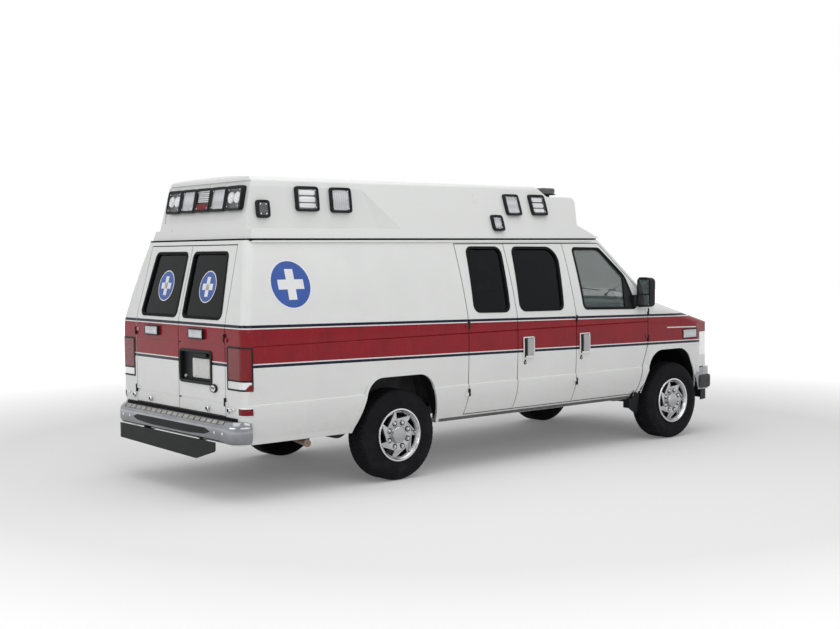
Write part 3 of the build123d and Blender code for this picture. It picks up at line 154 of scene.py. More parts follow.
class Shape:
    """A piece in the making: parts are added to one mesh, then the piece is finished."""

    def __init__(self):
        self.mesh = bmesh.new()

    def add(self, part):
        """Adds a part's mesh and frees it."""
        mesh = bpy.data.meshes.new("part")
        part.to_mesh(mesh)
        part.free()
        self.mesh.from_mesh(mesh)
        bpy.data.meshes.remove(mesh)
        return self

    def plate(self, corners, place, low, high, hole=None, bevel=0.0, step=0.05):
        """Adds a plate over a surface: an outline between two heights, with an outline cut out of it."""
        part = bmesh.new()
        outer = resample(rounded(corners), step)
        if hole is None:
            part.faces.new([part.verts.new((*p, 0)) for p in outer])
            bmesh.ops.triangulate(part, faces=part.faces[:])
            for axis, normal in enumerate(((1, 0, 0), (0, 1, 0))):
                start, end = span(outer, axis)
                count = ceil((end - start) / step)
                cuts = [start + (end - start) * k / count for k in range(1, count)]
                if axis == 1 and start < SIDE_KNEE < end:
                    cuts.append(SIDE_KNEE)
                for cut in cuts:
                    whole = part.verts[:] + part.edges[:] + part.faces[:]
                    bmesh.ops.bisect_plane(part, geom=whole, plane_co=Vector(normal) * cut, plane_no=normal)
        else:
            inner = resample(rounded(hole), step)
            rings = [[part.verts.new((*p, 0)) for p in ring] for ring in (inner, outer)]
            edges = [part.edges.new((r[i], r[(i + 1) % len(r)])) for r in rings for i in range(len(r))]
            bmesh.ops.triangle_fill(part, use_beauty=True, use_dissolve=False, edges=edges)
        bmesh.ops.remove_doubles(part, verts=part.verts, dist=1e-4)
        made = bmesh.ops.extrude_face_region(part, geom=part.faces[:])
        top = [v for v in made["geom"] if isinstance(v, bmesh.types.BMVert)]
        for verts, height in ((part.verts, low), (top, high)):
            for vert in verts:
                vert.co.z = height
        if bevel:
            middle = (low + high) / 2
            bevel_edges(part, [
                e for e in part.edges
                if all(v.co.z > middle for v in e.verts)
                and any(abs(f.normal.z) < 0.5 or min(v.co.z for v in f.verts) < middle for f in e.link_faces)
            ], bevel)
        for vert in part.verts:
            vert.co = place(*vert.co)
        return self.add(part)

    def ribs(self, corners, place, low, high, count, upright=False):
        """Adds rounded ribs over an outline's box."""
        (u_low, u_high), (v_low, v_high) = span(corners, 0), span(corners, 1)
        start, pitch = (u_low, (u_high - u_low) / count) if upright else (v_low, (v_high - v_low) / count)
        for k in range(count):
            near, far = start + pitch * (k + 0.12), start + pitch * (k + 0.88)
            rib = rect(near, far, v_low, v_high) if upright else rect(u_low, u_high, near, far)
            self.plate(rib, place, low, high, bevel=min(pitch * 0.3, 0.004), step=0.08)
        return self

    def box(self, low, high, bevel=0.004):
        """Adds a box between two corners with rounded edges."""
        part = bmesh.new()
        bmesh.ops.create_cube(part, size=1)
        low, high = Vector(low), Vector(high)
        size = high - low
        for vert in part.verts:
            vert.co = vert.co * size
        bevel_edges(part, part.edges[:], min(bevel, min(size) / 2.2))
        part.transform(Matrix.Translation((low + high) / 2))
        return self.add(part)

    def boxes(self, *rows):
        """Adds several boxes."""
        for row in rows:
            self.box(*row)
        return self

    def spun(self, rows, matrix, segments=48, closed=False):
        """Adds a turned shape from rows of radius, height; matrix carries its axis from z."""
        part = bmesh.new()
        rings = []
        for radius, height in rows:
            angles = [2 * pi * k / segments for k in range(segments if radius >= 1e-6 else 1)]
            rings.append([part.verts.new((radius * cos(a), radius * sin(a), height)) for a in angles])
        bridge(part, rings, closed, caps=False)
        part.transform(matrix)
        return self.add(part)

    def dome(self, point, normal, radius, height, sides=16):
        """Adds a low round head, such as a rivet's or a lock's."""
        return self.spun([
            (radius, -0.001), (radius, height * 0.45), (radius * 0.86, height * 0.8), (radius * 0.5, height),
            (0, height),
        ], aimed(point, normal), sides)

    def tube(self, path, radius, sides=12, closed=False):
        """Adds a round bar that follows a run of points."""
        part = bmesh.new()
        points = [Vector(p) for p in path]
        last = len(points) - 1
        rings = []
        side = None
        for i, point in enumerate(points):
            before = points[i - 1] if i or closed else point
            after = points[(i + 1) % (last + 1)] if i < last or closed else point
            along = (after - before).normalized()
            side = along.orthogonal().normalized() if side is None else side
            side = (side - along * side.dot(along)).normalized()
            up = along.cross(side)
            angles = [2 * pi * k / sides for k in range(sides)]
            rings.append([part.verts.new(point + (side * cos(a) + up * sin(a)) * radius) for a in angles])
        bridge(part, rings, closed)
        return self.add(part)

    def strip(self, path, centre, near, far, thick=0.002):
        """Adds a thin sheet along a run of x, z points, between the widths near and far(point)."""
        part = bmesh.new()
        rings = []
        for p in path:
            q = p + (centre - p).normalized() * thick
            corners = ((p, near), (p, far(p)), (q, far(p)), (q, near))
            rings.append([part.verts.new((a.x, y, a.y)) for a, y in corners])
        bridge(part, rings)
        return self.add(part)

    def finish(self, name, look, body="body", slot=None, stands_for=None, sharp=35):
        """Makes the object, shaded smooth up to an angle."""
        bmesh.ops.remove_doubles(self.mesh, verts=self.mesh.verts, dist=1e-6)
        bmesh.ops.recalc_face_normals(self.mesh, faces=self.mesh.faces)
        mesh = bpy.data.meshes.new(name)
        self.mesh.to_mesh(mesh)
        self.mesh.free()
        mesh.polygons.foreach_set("use_smooth", [True] * len(mesh.polygons))
        mesh.set_sharp_from_angle(angle=radians(sharp))
        tie(linked(name, mesh), look, body, slot, stands_for)


def tie(piece, look, body, slot, stands_for):
    """Gives a piece its material and body, and hides the node that it stands for."""
    piece.data.materials.append(LOOKS[look])
    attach(piece, body)
    slot or SLOTS[look]
    if stands_for:
        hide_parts(stands_for)


def plate(name, look, corners, place, low, high, body="body", slot=None, **shape):
    """One plate as a piece of its own."""
    Shape().plate(corners, place, low, high, **shape).finish(name, look, body, slot)


# ---- Surfaces that pieces are laid on: each takes two coordinates and a height above it ----
# Body side: inset from the half width, height, bulge of the run above, in millimetres as in the part
SIDE_ROWS = [
    (106, 434, 0), (87, 480, 4), (31, 590, 6), (3, 725, 0), (3, 744, 0), (13, 752, 5), (1, 1184, 0),
    (7, 1190, 0), (1, 1196, 4), (11, 1340, 12), (203, 1985, 0), (206, 1996, 0),
]
HALF_WIDTH = 1.006


def side_y(z):
    """Half width of the body at a height."""
    z = min(max(z * 1000, SIDE_ROWS[0][1]), SIDE_ROWS[-1][1])
    for (inwards, low, bulge), (next_inwards, high, _) in zip(SIDE_ROWS, SIDE_ROWS[1:]):
        if z <= high:
            t = (z - low) / (high - low)
            rise = bulge * hypot(next_inwards - inwards, high - low) / (high - low)
            return HALF_WIDTH - (inwards + (next_inwards - inwards) * t - rise * 4 * t * (1 - t)) / 1000
    return HALF_WIDTH - SIDE_ROWS[-1][0] / 1000


REAR_WALL, REAR_SLOPE = -2.85, 0.153 / 0.617
BELT_Z, KNEE = 1.345, 0.051


def rear_x(z):
    """Place of the rear wall at a height."""
    if z < BELT_Z - KNEE:
        return REAR_WALL
    if z > BELT_Z + KNEE:
        return REAR_WALL + REAR_SLOPE * (z - BELT_Z)
    t = (z - BELT_Z + KNEE) / (2 * KNEE)
    return REAR_WALL + REAR_SLOPE * KNEE * t * t


def facing_side(half_width):
    """Makes places along, up, out on either side of a form whose half width is known by height."""
    return lambda sign: lambda u, v, w: Vector((u, sign * (half_width(v) + w), v))


def facing_back(back):
    """Makes places left, up, out on the rear of a form whose x is known by height."""
    return lambda u, v, w: Vector((back(v) - w, u, v))


# The roof cap's side: foot's half width and height, slope; the set-in part of it
CAP_HALF, CAP_LOW = 0.797, 2.01
CAP_SLOPE = (CAP_HALF - 0.632) / (2.497 - CAP_LOW)
RECESS_TOP = (CAP_HALF - CAP_SLOPE * 0.411, 2.421)
RECESS_FOOT = (CAP_HALF - CAP_SLOPE * 0.082 - 0.07, 2.092)
RECESS_LEAN = (RECESS_TOP[0] - RECESS_FOOT[0]) / (RECESS_TOP[1] - RECESS_FOOT[1])
on_side = facing_side(side_y)
on_cap = facing_side(lambda v: CAP_HALF - CAP_SLOPE * (v - CAP_LOW))
on_recess = facing_side(lambda v: RECESS_FOOT[0] + RECESS_LEAN * (v - RECESS_FOOT[1]))
on_rear = facing_back(rear_x)
on_cap_rear = facing_back(lambda v: -2.64 + 0.104 / 0.51 * (v - CAP_LOW))


def tree_of(*names):
    """A search tree over the solids of some nodes."""
    verts, faces = [], []
    for name in names:
        mesh = nodes[name].data
        start = len(verts)
        verts += [v.co.copy() for v in mesh.vertices]
        faces += [[start + k for k in face.vertices] for face in mesh.polygons]
    return BVHTree.FromPolygons(verts, faces)


def cast_on(tree, axis, sign):
    """Places two coordinates and a height on a surface that is looked at along an axis."""
    across, up = [k for k in range(3) if k != axis]

    def place(u, v, w):
        start, toward = Vector(), Vector()
        start[across], start[up], start[axis] = u, v, sign * 5
        toward[axis] = -sign
        spot = tree.ray_cast(start, toward)[0]
        if spot is None:
            spot = start.copy()
            spot[axis] = tree.find_nearest(start)[0][axis]
        spot[axis] += sign * w
        return spot

    return place


# ---- Materials ----
LOOKS, SLOTS = {}, {}


class Nodes:
    """A node tree with short ways to add nodes and join them."""

    def __init__(self, tree):
        self.tree = tree
        self.named = tree.nodes

    def feed(self, node, inputs):
        """Links or sets a node's inputs, by name or number."""
        for key, value in inputs.items():
            if hasattr(value, "is_output"):
                self.tree.links.new(value, node.inputs[key])
            else:
                node.inputs[key].default_value = value

    def add(self, kind, inputs=None, **settings):
        """Adds a node with settings and inputs; returns its outputs."""
        node = self.tree.nodes.new("ShaderNode" + kind)
        for key, value in settings.items():
            setattr(node, key, value)
        self.feed(node, inputs or {})
        return node.outputs

    def math(self, operation, a, b=0.0):
        """A sum on links or numbers."""
        return self.add("Math", {0: a, 1: b}, operation=operation)[0]

    def mix(self, factor, a, b):
        """A colour mix on links or colours."""
        a, b = (c if hasattr(c, "is_output") else (*c[:3], 1) for c in (a, b))
        return self.add("Mix", {0: factor, 6: a, 7: b}, data_type="RGBA")[2]

    def remap(self, value, low, high, to_low, to_high):
        """A clamped change of range."""
        return self.add("MapRange", {0: value, 1: low, 2: high, 3: to_low, 4: to_high})[0]

    def coords(self, kind="Object"):
        """The part's own coordinates, or its normal in them."""
        return self.add("TexCoord")[kind]

    def split(self, vector):
        """The three parts of a vector."""
        return self.add("SeparateXYZ", {0: vector})

    def noise(self, scale, detail=3, rough=0.5, stretch=None):
        """Noise over the part's own coordinates."""
        coords = self.coords()
        if stretch is not None:
            coords = self.add("Mapping", {"Vector": coords, "Scale": stretch})[0]
        inputs = {"Vector": coords, "Scale": scale, "Detail": detail, "Roughness": rough}
        return self.add("TexNoise", inputs)["Fac"]

    def cloud(self, scale, detail, rough, low, high, to_low=0, to_high=1, stretch=None):
        """Noise carried to a range."""
        return self.remap(self.noise(scale, detail, rough, stretch), low, high, to_low, to_high)

    def bump(self, height, strength, distance):
        """A normal from a height."""
        return self.add("Bump", {"Height": height, "Strength": strength, "Distance": distance})[0]


def new_material(name, slot=None):
    """Registers a material with the slot it usually goes in; returns its tree and shader."""
    material = LOOKS[name] = bpy.data.materials.new(name)
    SLOTS[name] = slot
    material.use_nodes = True
    tree = Nodes(material.node_tree)
    return tree, tree.named["Principled BSDF"]


def scaled(colour, factor):
    """A colour made darker or lighter."""
    return [min(1, c * factor) for c in colour]


def plain_material(name, slot, colour, rough, metallic, vary, scale, grain, bump, rough_vary=0.08, coat=0.0,
                   stretch=None, grime=0.0, specular=0.5):
    """A material whose colour, roughness and surface vary as the real one's do."""
    tree, shader = new_material(name, slot)
    fine = tree.noise(grain, 3, 0.6, stretch)
    patches = tree.cloud(scale, 5, 0.6, 0.35, 0.65)
    shade = tree.mix(patches, scaled(colour, 1 - vary), scaled(colour, 1 + vary))
    if grime:
        low = tree.remap(tree.split(tree.coords())[2], 0.2, 0.9, 1, 0)
        dust = tree.math("MULTIPLY", low, tree.cloud(9, 6, 0.7, 0.4, 0.7, 0, grime))
        shade = tree.mix(dust, shade, (0.30, 0.27, 0.24))
    tree.feed(shader, {
        "Base Color": shade, "Metallic": metallic, "Specular IOR Level": specular,
        "Roughness": tree.remap(fine, 0.3, 0.7, max(0.02, rough - rough_vary), min(1, rough + rough_vary)),
        "Coat Weight": coat, "Coat Roughness": 0.05, "Normal": tree.bump(fine, bump, 0.001),
    })


WHITE, RED, NAVY = (0.78, 0.79, 0.78), (0.255, 0.006, 0.014), (0.003, 0.004, 0.024)
# The band's top and bottom edges along the vehicle: x, top z, bottom z
BAND = [
    (-2.95, 1.357, 1.034), (-2.763, 1.360, 1.035), (-0.693, 1.337, 1.018), (-0.032, 1.334, 1.004),
    (0.721, 1.322, 1.000), (1.415, 1.300, 0.990), (1.813, 1.281, 0.976), (2.556, 1.250, 0.949),
    (2.95, 1.240, 0.940),
]
BAND_BASE = 0.9
NAVY_WIDTH, PIN_WIDTH = 0.022, 0.031
PAINT_COAT, FILM_COAT = 0.25, 0.07


def band_edge(tree, x, column):
    """The band's edge height at x, from the table."""
    outputs = tree.add("ValToRGB")
    ramp = outputs[0].node
    stops = ramp.color_ramp.elements
    low, high = BAND[0][0], BAND[-1][0]
    for i, row in enumerate(BAND):
        place = (row[0] - low) / (high - low)
        stop = stops[0] if i == 0 else stops[1] if i == len(BAND) - 1 else stops.new(place)
        stop.position = place
        stop.color = (*[row[column] - BAND_BASE] * 3, 1)
    tree.feed(ramp, {0: tree.remap(x, low, high, 0, 1)})
    return tree.math("ADD", outputs[0], BAND_BASE)


def banded_shade(tree, shade, x, y, z):
    """The red band with its navy and white edges over a shade; and where the film is."""
    facing = tree.split(tree.coords("Normal"))
    # The film is on the skin alone: not on faces that look up or into the vehicle
    endwards = tree.math("POWER", tree.math("DIVIDE", x, 2.9), 5)
    along, across = tree.math("MULTIPLY", facing[0], endwards), tree.math("MULTIPLY", facing[1], y)
    outwards = tree.math("GREATER_THAN", tree.math("ADD", along, across), -0.4)
    skin = tree.math("MULTIPLY", tree.math("LESS_THAN", facing[2], 0.8), outwards)
    below_top = tree.math("SUBTRACT", band_edge(tree, x, 1), z)
    above_foot = tree.math("SUBTRACT", z, band_edge(tree, x, 2))
    depth = tree.math("MULTIPLY", tree.math("MINIMUM", below_top, above_foot), skin)
    red = tree.mix(tree.cloud(5, 4, 0.6, 0.3, 0.7), scaled(RED, 0.86), scaled(RED, 1.12))
    for width, colour in ((0.0, NAVY), (NAVY_WIDTH, (0.8, 0.8, 0.8)), (PIN_WIDTH, red)):
        shade = tree.mix(tree.math("GREATER_THAN", depth, width), shade, colour)
    return shade, tree.math("GREATER_THAN", depth, 0.0)


def paint_material(name, banded):
    """White coach paint with grime low down, and the band if it has one."""
    tree, shader = new_material(name, "body_paint")
    x, y, z = tree.split(tree.coords())
    shade = tree.mix(tree.cloud(2.5, 4, 0.6, 0.3, 0.7), scaled(WHITE, 0.97), scaled(WHITE, 1.02))
    shader.inputs["Coat Weight"].default_value = PAINT_COAT
    if banded:
        shade, film = banded_shade(tree, shade, x, y, z)
        tree.feed(shader, {"Coat Weight": tree.remap(film, 0, 1, PAINT_COAT, FILM_COAT)})
    low = tree.remap(z, 0.40, 0.85, 1, 0)
    dust = tree.math("MULTIPLY", low, tree.cloud(14, 8, 0.75, 0.45, 0.75, 0, 0.09))
    shade = tree.mix(dust, shade, (0.33, 0.30, 0.26))
    streak = tree.cloud(8, 5, 0.7, 0.55, 0.8, 0, 0.03, (6, 6, 0.6))
    tree.feed(shader, {
        "Base Color": tree.mix(streak, shade, (0.42, 0.41, 0.38)), "Specular IOR Level": 0.18,
        "Roughness": tree.math("ADD", tree.cloud(5, 3, 0.5, 0.3, 0.7, 0.22, 0.27),
                               tree.math("MULTIPLY", dust, 0.5)),
        "Coat Roughness": 0.06, "Normal": tree.bump(tree.noise(4, 2, 0.4), 0.05, 0.002),
    })


def lens_material(name, slot, colour, rough, ribs, depth=0.6, metallic=0.0, coat=0.5, specular=0.5):
    """A moulded lens with fine upright ribs."""
    tree, shader = new_material(name, slot)
    coords = tree.coords()
    waves = [
        tree.add("TexWave", {"Vector": coords, "Scale": ribs, "Distortion": 0}, bands_direction=axis,
                 wave_profile="SIN")["Fac"]
        for axis in "XY"
    ]
    height = tree.math("ADD", *waves)
    # The colour follows the ribs: lighter on their crests and darker between them, a painted highlight and
    # painted shade.
    tree.feed(shader, {
        "Base Color": tree.mix(tree.remap(height, 0.2, 1.8, 0, 1), scaled(colour, 0.75),
                               scaled(colour, 1.15)),
        "Roughness": tree.cloud(40, 2, 0.5, 0.3, 0.7, rough, rough + 0.06), "Metallic": metallic,
        "Specular IOR Level": specular, "Coat Weight": coat, "Coat Roughness": 0.03,
        "Normal": tree.bump(height, depth, 0.002),
    })


def glass_material(name, colour, alpha, specular=0.5, slot="clear_glass"):
    """Window glass, tinted by how much shows through."""
    tree, shader = new_material(name, slot)
    tree.feed(shader, {
        "Base Color": tree.mix(tree.cloud(3, 5, 0.6, 0.3, 0.7), scaled(colour, 0.85), scaled(colour, 1.15)),
        "Roughness": tree.cloud(11, 6, 0.7, 0.4, 0.75, 0.03, 0.13), "Alpha": alpha, "IOR": 1.5,
        "Specular IOR Level": specular,
    })


def cover_material(name, hub_y):
    """Silver on a wheel's cover; the rim behind its openings darkened by depth: brake dust and painted shade.
    """
    tree, shader = new_material(name)
    depth = tree.math("ABSOLUTE", tree.split(tree.coords())[1])
    face = tree.remap(depth, hub_y + 0.066, hub_y + 0.079, 0, 1)
    metal = tree.mix(tree.cloud(20, 5, 0.6, 0.35, 0.65), (0.43, 0.43, 0.44), (0.50, 0.50, 0.51))
    tree.feed(shader, {
        "Base Color": tree.mix(face, (0.012, 0.011, 0.011), metal),
        "Metallic": tree.remap(face, 0, 1, 0.2, 0.9),
        "Roughness": tree.cloud(90, 3, 0.5, 0.3, 0.7, 0.20, 0.32),
    })


# Name, usual slot, colour, roughness, metallic, then the colour's spread and its scale, the grain's scale and
# its depth
for *row, more in [
    ("cap_gelcoat", "body_paint", (0.75, 0.76, 0.75), 0.30, 0, 0.01, 2, 5, 0.006,
     dict(rough_vary=0.03, coat=0.3)),
    ("chrome", "bright_trim", (0.66, 0.67, 0.69), 0.12, 1, 0.06, 9, 50, 0.08,
     dict(rough_vary=0.06, grime=0.3)),
    # The bumpers' chrome is the chrome made much darker: a painted dark reflection, with dust on top.
    ("bumper_chrome", "bright_trim", (0.25, 0.26, 0.28), 0.14, 1, 0.14, 4, 30, 0.06,
     dict(rough_vary=0.06, grime=0.25, stretch=(0.3, 0.3, 3))),
    ("cover_silver", "cover_silver", (0.40, 0.41, 0.43), 0.26, 0.9, 0.06, 20, 160, 0.08, dict(grime=0.25)),
    ("dark_steel", "chassis_black", (0.035, 0.035, 0.038), 0.62, 0.3, 0.3, 12, 90, 0.5, dict(grime=0.6)),
    # The handle pull: the white body paint made grey, as painted shade.
    ("pull_grey", "body_paint", (0.42, 0.42, 0.42), 0.4, 0, 0.05, 8, 90, 0.05, {}),
    ("bare_steel", "bright_trim", (0.34, 0.33, 0.32), 0.42, 0.9, 0.15, 20, 150, 0.3, {}),
    ("worn_exhaust", "exhaust_steel", (0.23, 0.17, 0.13), 0.62, 0.6, 0.35, 15, 80, 0.6, {}),
    ("black_plastic", "black_plastic", (0.010, 0.011, 0.012), 0.48, 0, 0.15, 10, 260, 0.35,
     dict(specular=0.16)),
    ("grey_plastic", "black_plastic", (0.16, 0.165, 0.17), 0.55, 0, 0.1, 8, 220, 0.4, {}),
    ("black_rubber", "seal_rubber", (0.007, 0.007, 0.008), 0.7, 0, 0.2, 14, 120, 0.3, dict(specular=0.1)),
    ("pad_rubber", "seal_rubber", (0.05, 0.05, 0.05), 0.75, 0, 0.2, 18, 140, 0.5, {}),
    ("tyre_rubber", "tyre_black", (0.007, 0.007, 0.009), 0.78, 0, 0.25, 10, 130, 0.35,
     dict(grime=0.03, specular=0.12)),
    ("step_tread", "seal_rubber", (0.42, 0.41, 0.38), 0.55, 0, 0.18, 9, 120, 0.4, dict(grime=0.3)),
    ("cabinet_board", "cabinet_board", (0.62, 0.60, 0.55), 0.35, 0, 0.03, 3, 90, 0.08, {}),
    ("cab_trim", "cab_plastic", (0.15, 0.155, 0.17), 0.62, 0, 0.08, 8, 240, 0.45, {}),
    ("seat_vinyl", "seat_cloth", (0.055, 0.065, 0.10), 0.5, 0, 0.12, 9, 190, 0.6, {}),
    ("cast_iron", "engine_iron", (0.08, 0.08, 0.085), 0.7, 0.5, 0.25, 14, 70, 0.8, {}),
    ("mirror_face", "bright_trim", (0.86, 0.87, 0.88), 0.03, 1, 0.01, 6, 10, 0.0, dict(rough_vary=0.01)),
    ("chassis_trim", "chassis_black", (0.10, 0.10, 0.10), 0.6, 0, 0.2, 12, 120, 0.4, {}),
    ("sign_blue", "body_paint", (0.022, 0.085, 0.36), 0.35, 0, 0.08, 8, 90, 0.05, {}),
    ("sign_white", "body_paint", (0.80, 0.81, 0.82), 0.35, 0, 0.02, 8, 90, 0.05, {}),
    ("blank_plate", "body_paint", (0.66, 0.66, 0.64), 0.4, 0, 0.06, 16, 90, 0.1, {}),
]:
    plain_material(*row, **more)
paint_material("coach_paint", True)
paint_material("plain_paint", False)
glass_material("dark_tint", (0.003, 0.004, 0.005), 0.93, 0.12)
glass_material("green_glass", (0.07, 0.11, 0.10), 0.42, 0.35)
glass_material("shield_glass", (0.10, 0.14, 0.13), 0.38)
glass_material("outer_lens", (0.80, 0.82, 0.85), 0.05, 0.35, "clear_lens")
lens_material("red_lens", "red_lens", (0.21, 0.003, 0.008), 0.08, 60, 0.25, coat=0.12, specular=0.2)
lens_material("white_lens", "clear_lens", (0.84, 0.86, 0.88), 0.05, 55, metallic=0.25)
lens_material("grey_lens", "clear_lens", (0.56, 0.58, 0.61), 0.06, 30, metallic=0.4)
lens_material("amber_lens", "clear_lens", (0.62, 0.20, 0.01), 0.06, 60)
lens_material("pearl_lens", "clear_lens", (0.60, 0.61, 0.64), 0.16, 14, 0.25, 0.1, coat=0.25)
lens_material("smoke_lens", "clear_lens", (0.055, 0.06, 0.065), 0.08, 40, metallic=0.3, coat=0.25)
# The lamps' reflector dish is bright trim made dark: painted shade inside the lamps.
lens_material("dish_painted_shade", "bright_trim", (0.09, 0.095, 0.10), 0.12, 24, metallic=0.8, coat=0.1)
cover_material("front_cover", 0.8815)
cover_material("rear_cover", 0.852)

for look, names in {
    "coach_paint": "side_panel_left side_panel_right front_door_left front_door_right side_door_front"
                   " side_door_rear rear_door_left rear_door_right fenders nose_panel",
    "plain_paint": "rear_door_surround windshield_surround cowl hood",
    "cap_gelcoat": "roof_cap",
    "bumper_chrome": "front_bumper rear_bumper",
    "chrome": "grille",
    "front_cover": "wheel_front_left wheel_front_right",
    "rear_cover": "wheel_rear_left wheel_rear_right",
    "tyre_rubber": "tyre_front_left tyre_front_right tyre_rear_left tyre_rear_right",
    "black_rubber": "roof_seal",
    "black_plastic": "front_air_dam rear_valance mirror_left mirror_right roof_lamps rear_lamps",
    "red_lens": "tail_lamps",
    "white_lens": "headlamps light_bar",
    "dark_tint": "side_door_front_glass side_door_rear_glass rear_door_glass_left rear_door_glass_right",
    "green_glass": "front_door_glass_left front_door_glass_right",
    "shield_glass": "windshield_glass",
    "dark_steel": "chassis_frame front_axle_beams rear_axle fuel_tank floor_pan side_steps",
    "cast_iron": "knuckle_left knuckle_right engine_block",
    "worn_exhaust": "exhaust",
    "cab_trim": "dashboard",
    "seat_vinyl": "cab_seats",
    "cabinet_board": "partition patient_cabinet bench",
    "bare_steel": "grab_pole",
}.items():
    for name in names.split():
        nodes[name].data.materials.clear()
        nodes[name].data.materials.append(LOOKS[look])

front_tree = tree_of("fenders", "nose_panel", "headlamps", "grille")

# ---- Window gaskets and door bodies ----
FRONT_WINDOW = [
    (0.871, 1.349, 0.04), (1.609, 1.329, 0.03), (1.511, 1.641, 0.15), (1.239, 1.912, 0.05),
    (0.873, 1.918, 0.04),
]
FRONT_LEAF_WINDOW = [(0.042, 1.362, 0.06), (0.589, 1.353, 0.06), (0.66, 1.922, 0.13), (0.086, 1.927, 0.06)]
REAR_LEAF_WINDOW = [(-0.51, 1.371, 0.06), (-0.093, 1.361, 0.06), (-0.059, 1.928, 0.06), (-0.465, 1.93, 0.06)]
REAR_WINDOW = [(0.05, 1.392, 0.045), (0.656, 1.392, 0.045), (0.577, 1.904, 0.045), (0.05, 1.904, 0.045)]
FRONT_CARD = [(0.8, 0.545, 0.03), (1.61, 0.545, 0.04), (1.64, 0.7, 0.03), (1.64, 0.88, 0.02),
              (1.255, 0.88, 0.01), (1.255, 1.235, 0.03), (0.8, 1.235, 0.03)]
REAR_CARD = rect(0.06, 0.66, 0.73, 1.29, 0.04)
# Door, window, inner card, where they lie
DOORS = [
    ("front_door_right", FRONT_WINDOW, FRONT_CARD, on_side(RIGHT)),
    ("front_door_left", FRONT_WINDOW, FRONT_CARD, on_side(LEFT)),
    ("side_door_front", FRONT_LEAF_WINDOW, rect(0.04, 0.61, 0.56, 1.26, 0.04), on_side(RIGHT)),
    ("side_door_rear", REAR_LEAF_WINDOW, rect(-0.55, -0.07, 0.56, 1.26, 0.04), on_side(RIGHT)),
    ("rear_door_left", REAR_WINDOW, REAR_CARD, on_rear),
    ("rear_door_right", flipped(REAR_WINDOW), rect(-0.66, -0.06, 0.73, 1.29, 0.04), on_rear),
]
for name, window, _, place in DOORS:
    plate(f"{name}_gasket", "black_rubber", inset(window, -0.01), place, -0.013, 0.004, f"{name}_body",
          hole=inset(window, 0.013), bevel=0.0025, step=0.06)

SAIL = [(1.443, 1.345, 0.02), (1.596, 1.339, 0.01), (1.51, 1.625, 0.01), (1.488, 1.64, 0.01),
        (1.462, 1.48, 0.1)]
for sign, side in SIDES.items():
    plate(f"mirror_sail_{side}", "black_plastic", SAIL, on_side(sign), -0.016, 0.002,
          f"front_door_{side}_body", bevel=0.002)

SHIELD_ANGLE = radians(43.8)
SHIELD_UP = Vector((-cos(SHIELD_ANGLE), 0, sin(SHIELD_ANGLE)))
SHIELD_OUT = Vector((sin(SHIELD_ANGLE), 0, cos(SHIELD_ANGLE)))
SHIELD_FOOT = Vector((2.004, 0, 1.38))
SHIELD_BOW = 4.5


def on_shield(u, v, w):
    """Places left, up the glass, out on the windshield."""
    bow = (SHIELD_BOW ** 2 - u ** 2) ** 0.5 - SHIELD_BOW + w
    return SHIELD_FOOT + Vector((0, u, 0)) + SHIELD_UP * v + SHIELD_OUT * bow


def shield_outline(shrink):
    """The windshield's outline, shrunk: its foot and then its top, both bowed."""
    corners = []
    for half, turn, height, bow in ((0.89, 1, 0.036 + shrink, 0.093), (0.735, -1, 0.796 - shrink, 0.062)):
        for k in range(-8, 9):
            u = (half - shrink) * turn * k / 8
            corners.append((u, height + bow * (u / half) ** 2, 0.055 if abs(k) == 8 else 0))
    return corners


plate("windshield_gasket", "black_rubber", shield_outline(-0.006), on_shield, -0.014, 0.003,
      hole=shield_outline(0.02), bevel=0.002, step=0.08)


# ---- Signs: a plain blue disc with a white cross ----
def sign_pieces(name, u, v, radius, place, body):
    """A round blue sign with a white rim and a white cross."""
    turns = [2 * pi * k / 40 for k in range(40)]
    disc = [(u + radius * cos(turn), v + radius * sin(turn), 0) for turn in turns]
    rim = [(u + (a - u) * 1.07, v + (b - v) * 1.07, 0) for a, b, _ in disc]
    arm, wide = radius * 0.66, radius * 0.21
    plate(f"{name}_rim", "sign_white", rim, place, -0.0004, 0.001, body, step=0.03)
    plate(f"{name}_disc", "sign_blue", disc, place, 0, 0.0017, body, step=0.03)
    cross = Shape()
    for across, up in ((wide, arm), (arm, wide)):
        cross.plate(rect(u - across, u + across, v - up, v + up, 0.003), place, 0.0006, 0.0025, step=0.03)
    cross.finish(f"{name}_cross", "sign_white", body)


GLASS_DEPTH = 0.014
for sign, side in SIDES.items():
    sign_pieces(f"side_sign_{side}", -2.365, 1.652, 0.18, on_side(sign), "body")
    sign_pieces(f"rear_sign_{side}", sign * 0.34, 1.634, 0.118,
                lambda u, v, w: on_rear(u, v, w - GLASS_DEPTH), f"rear_door_{side}_body")

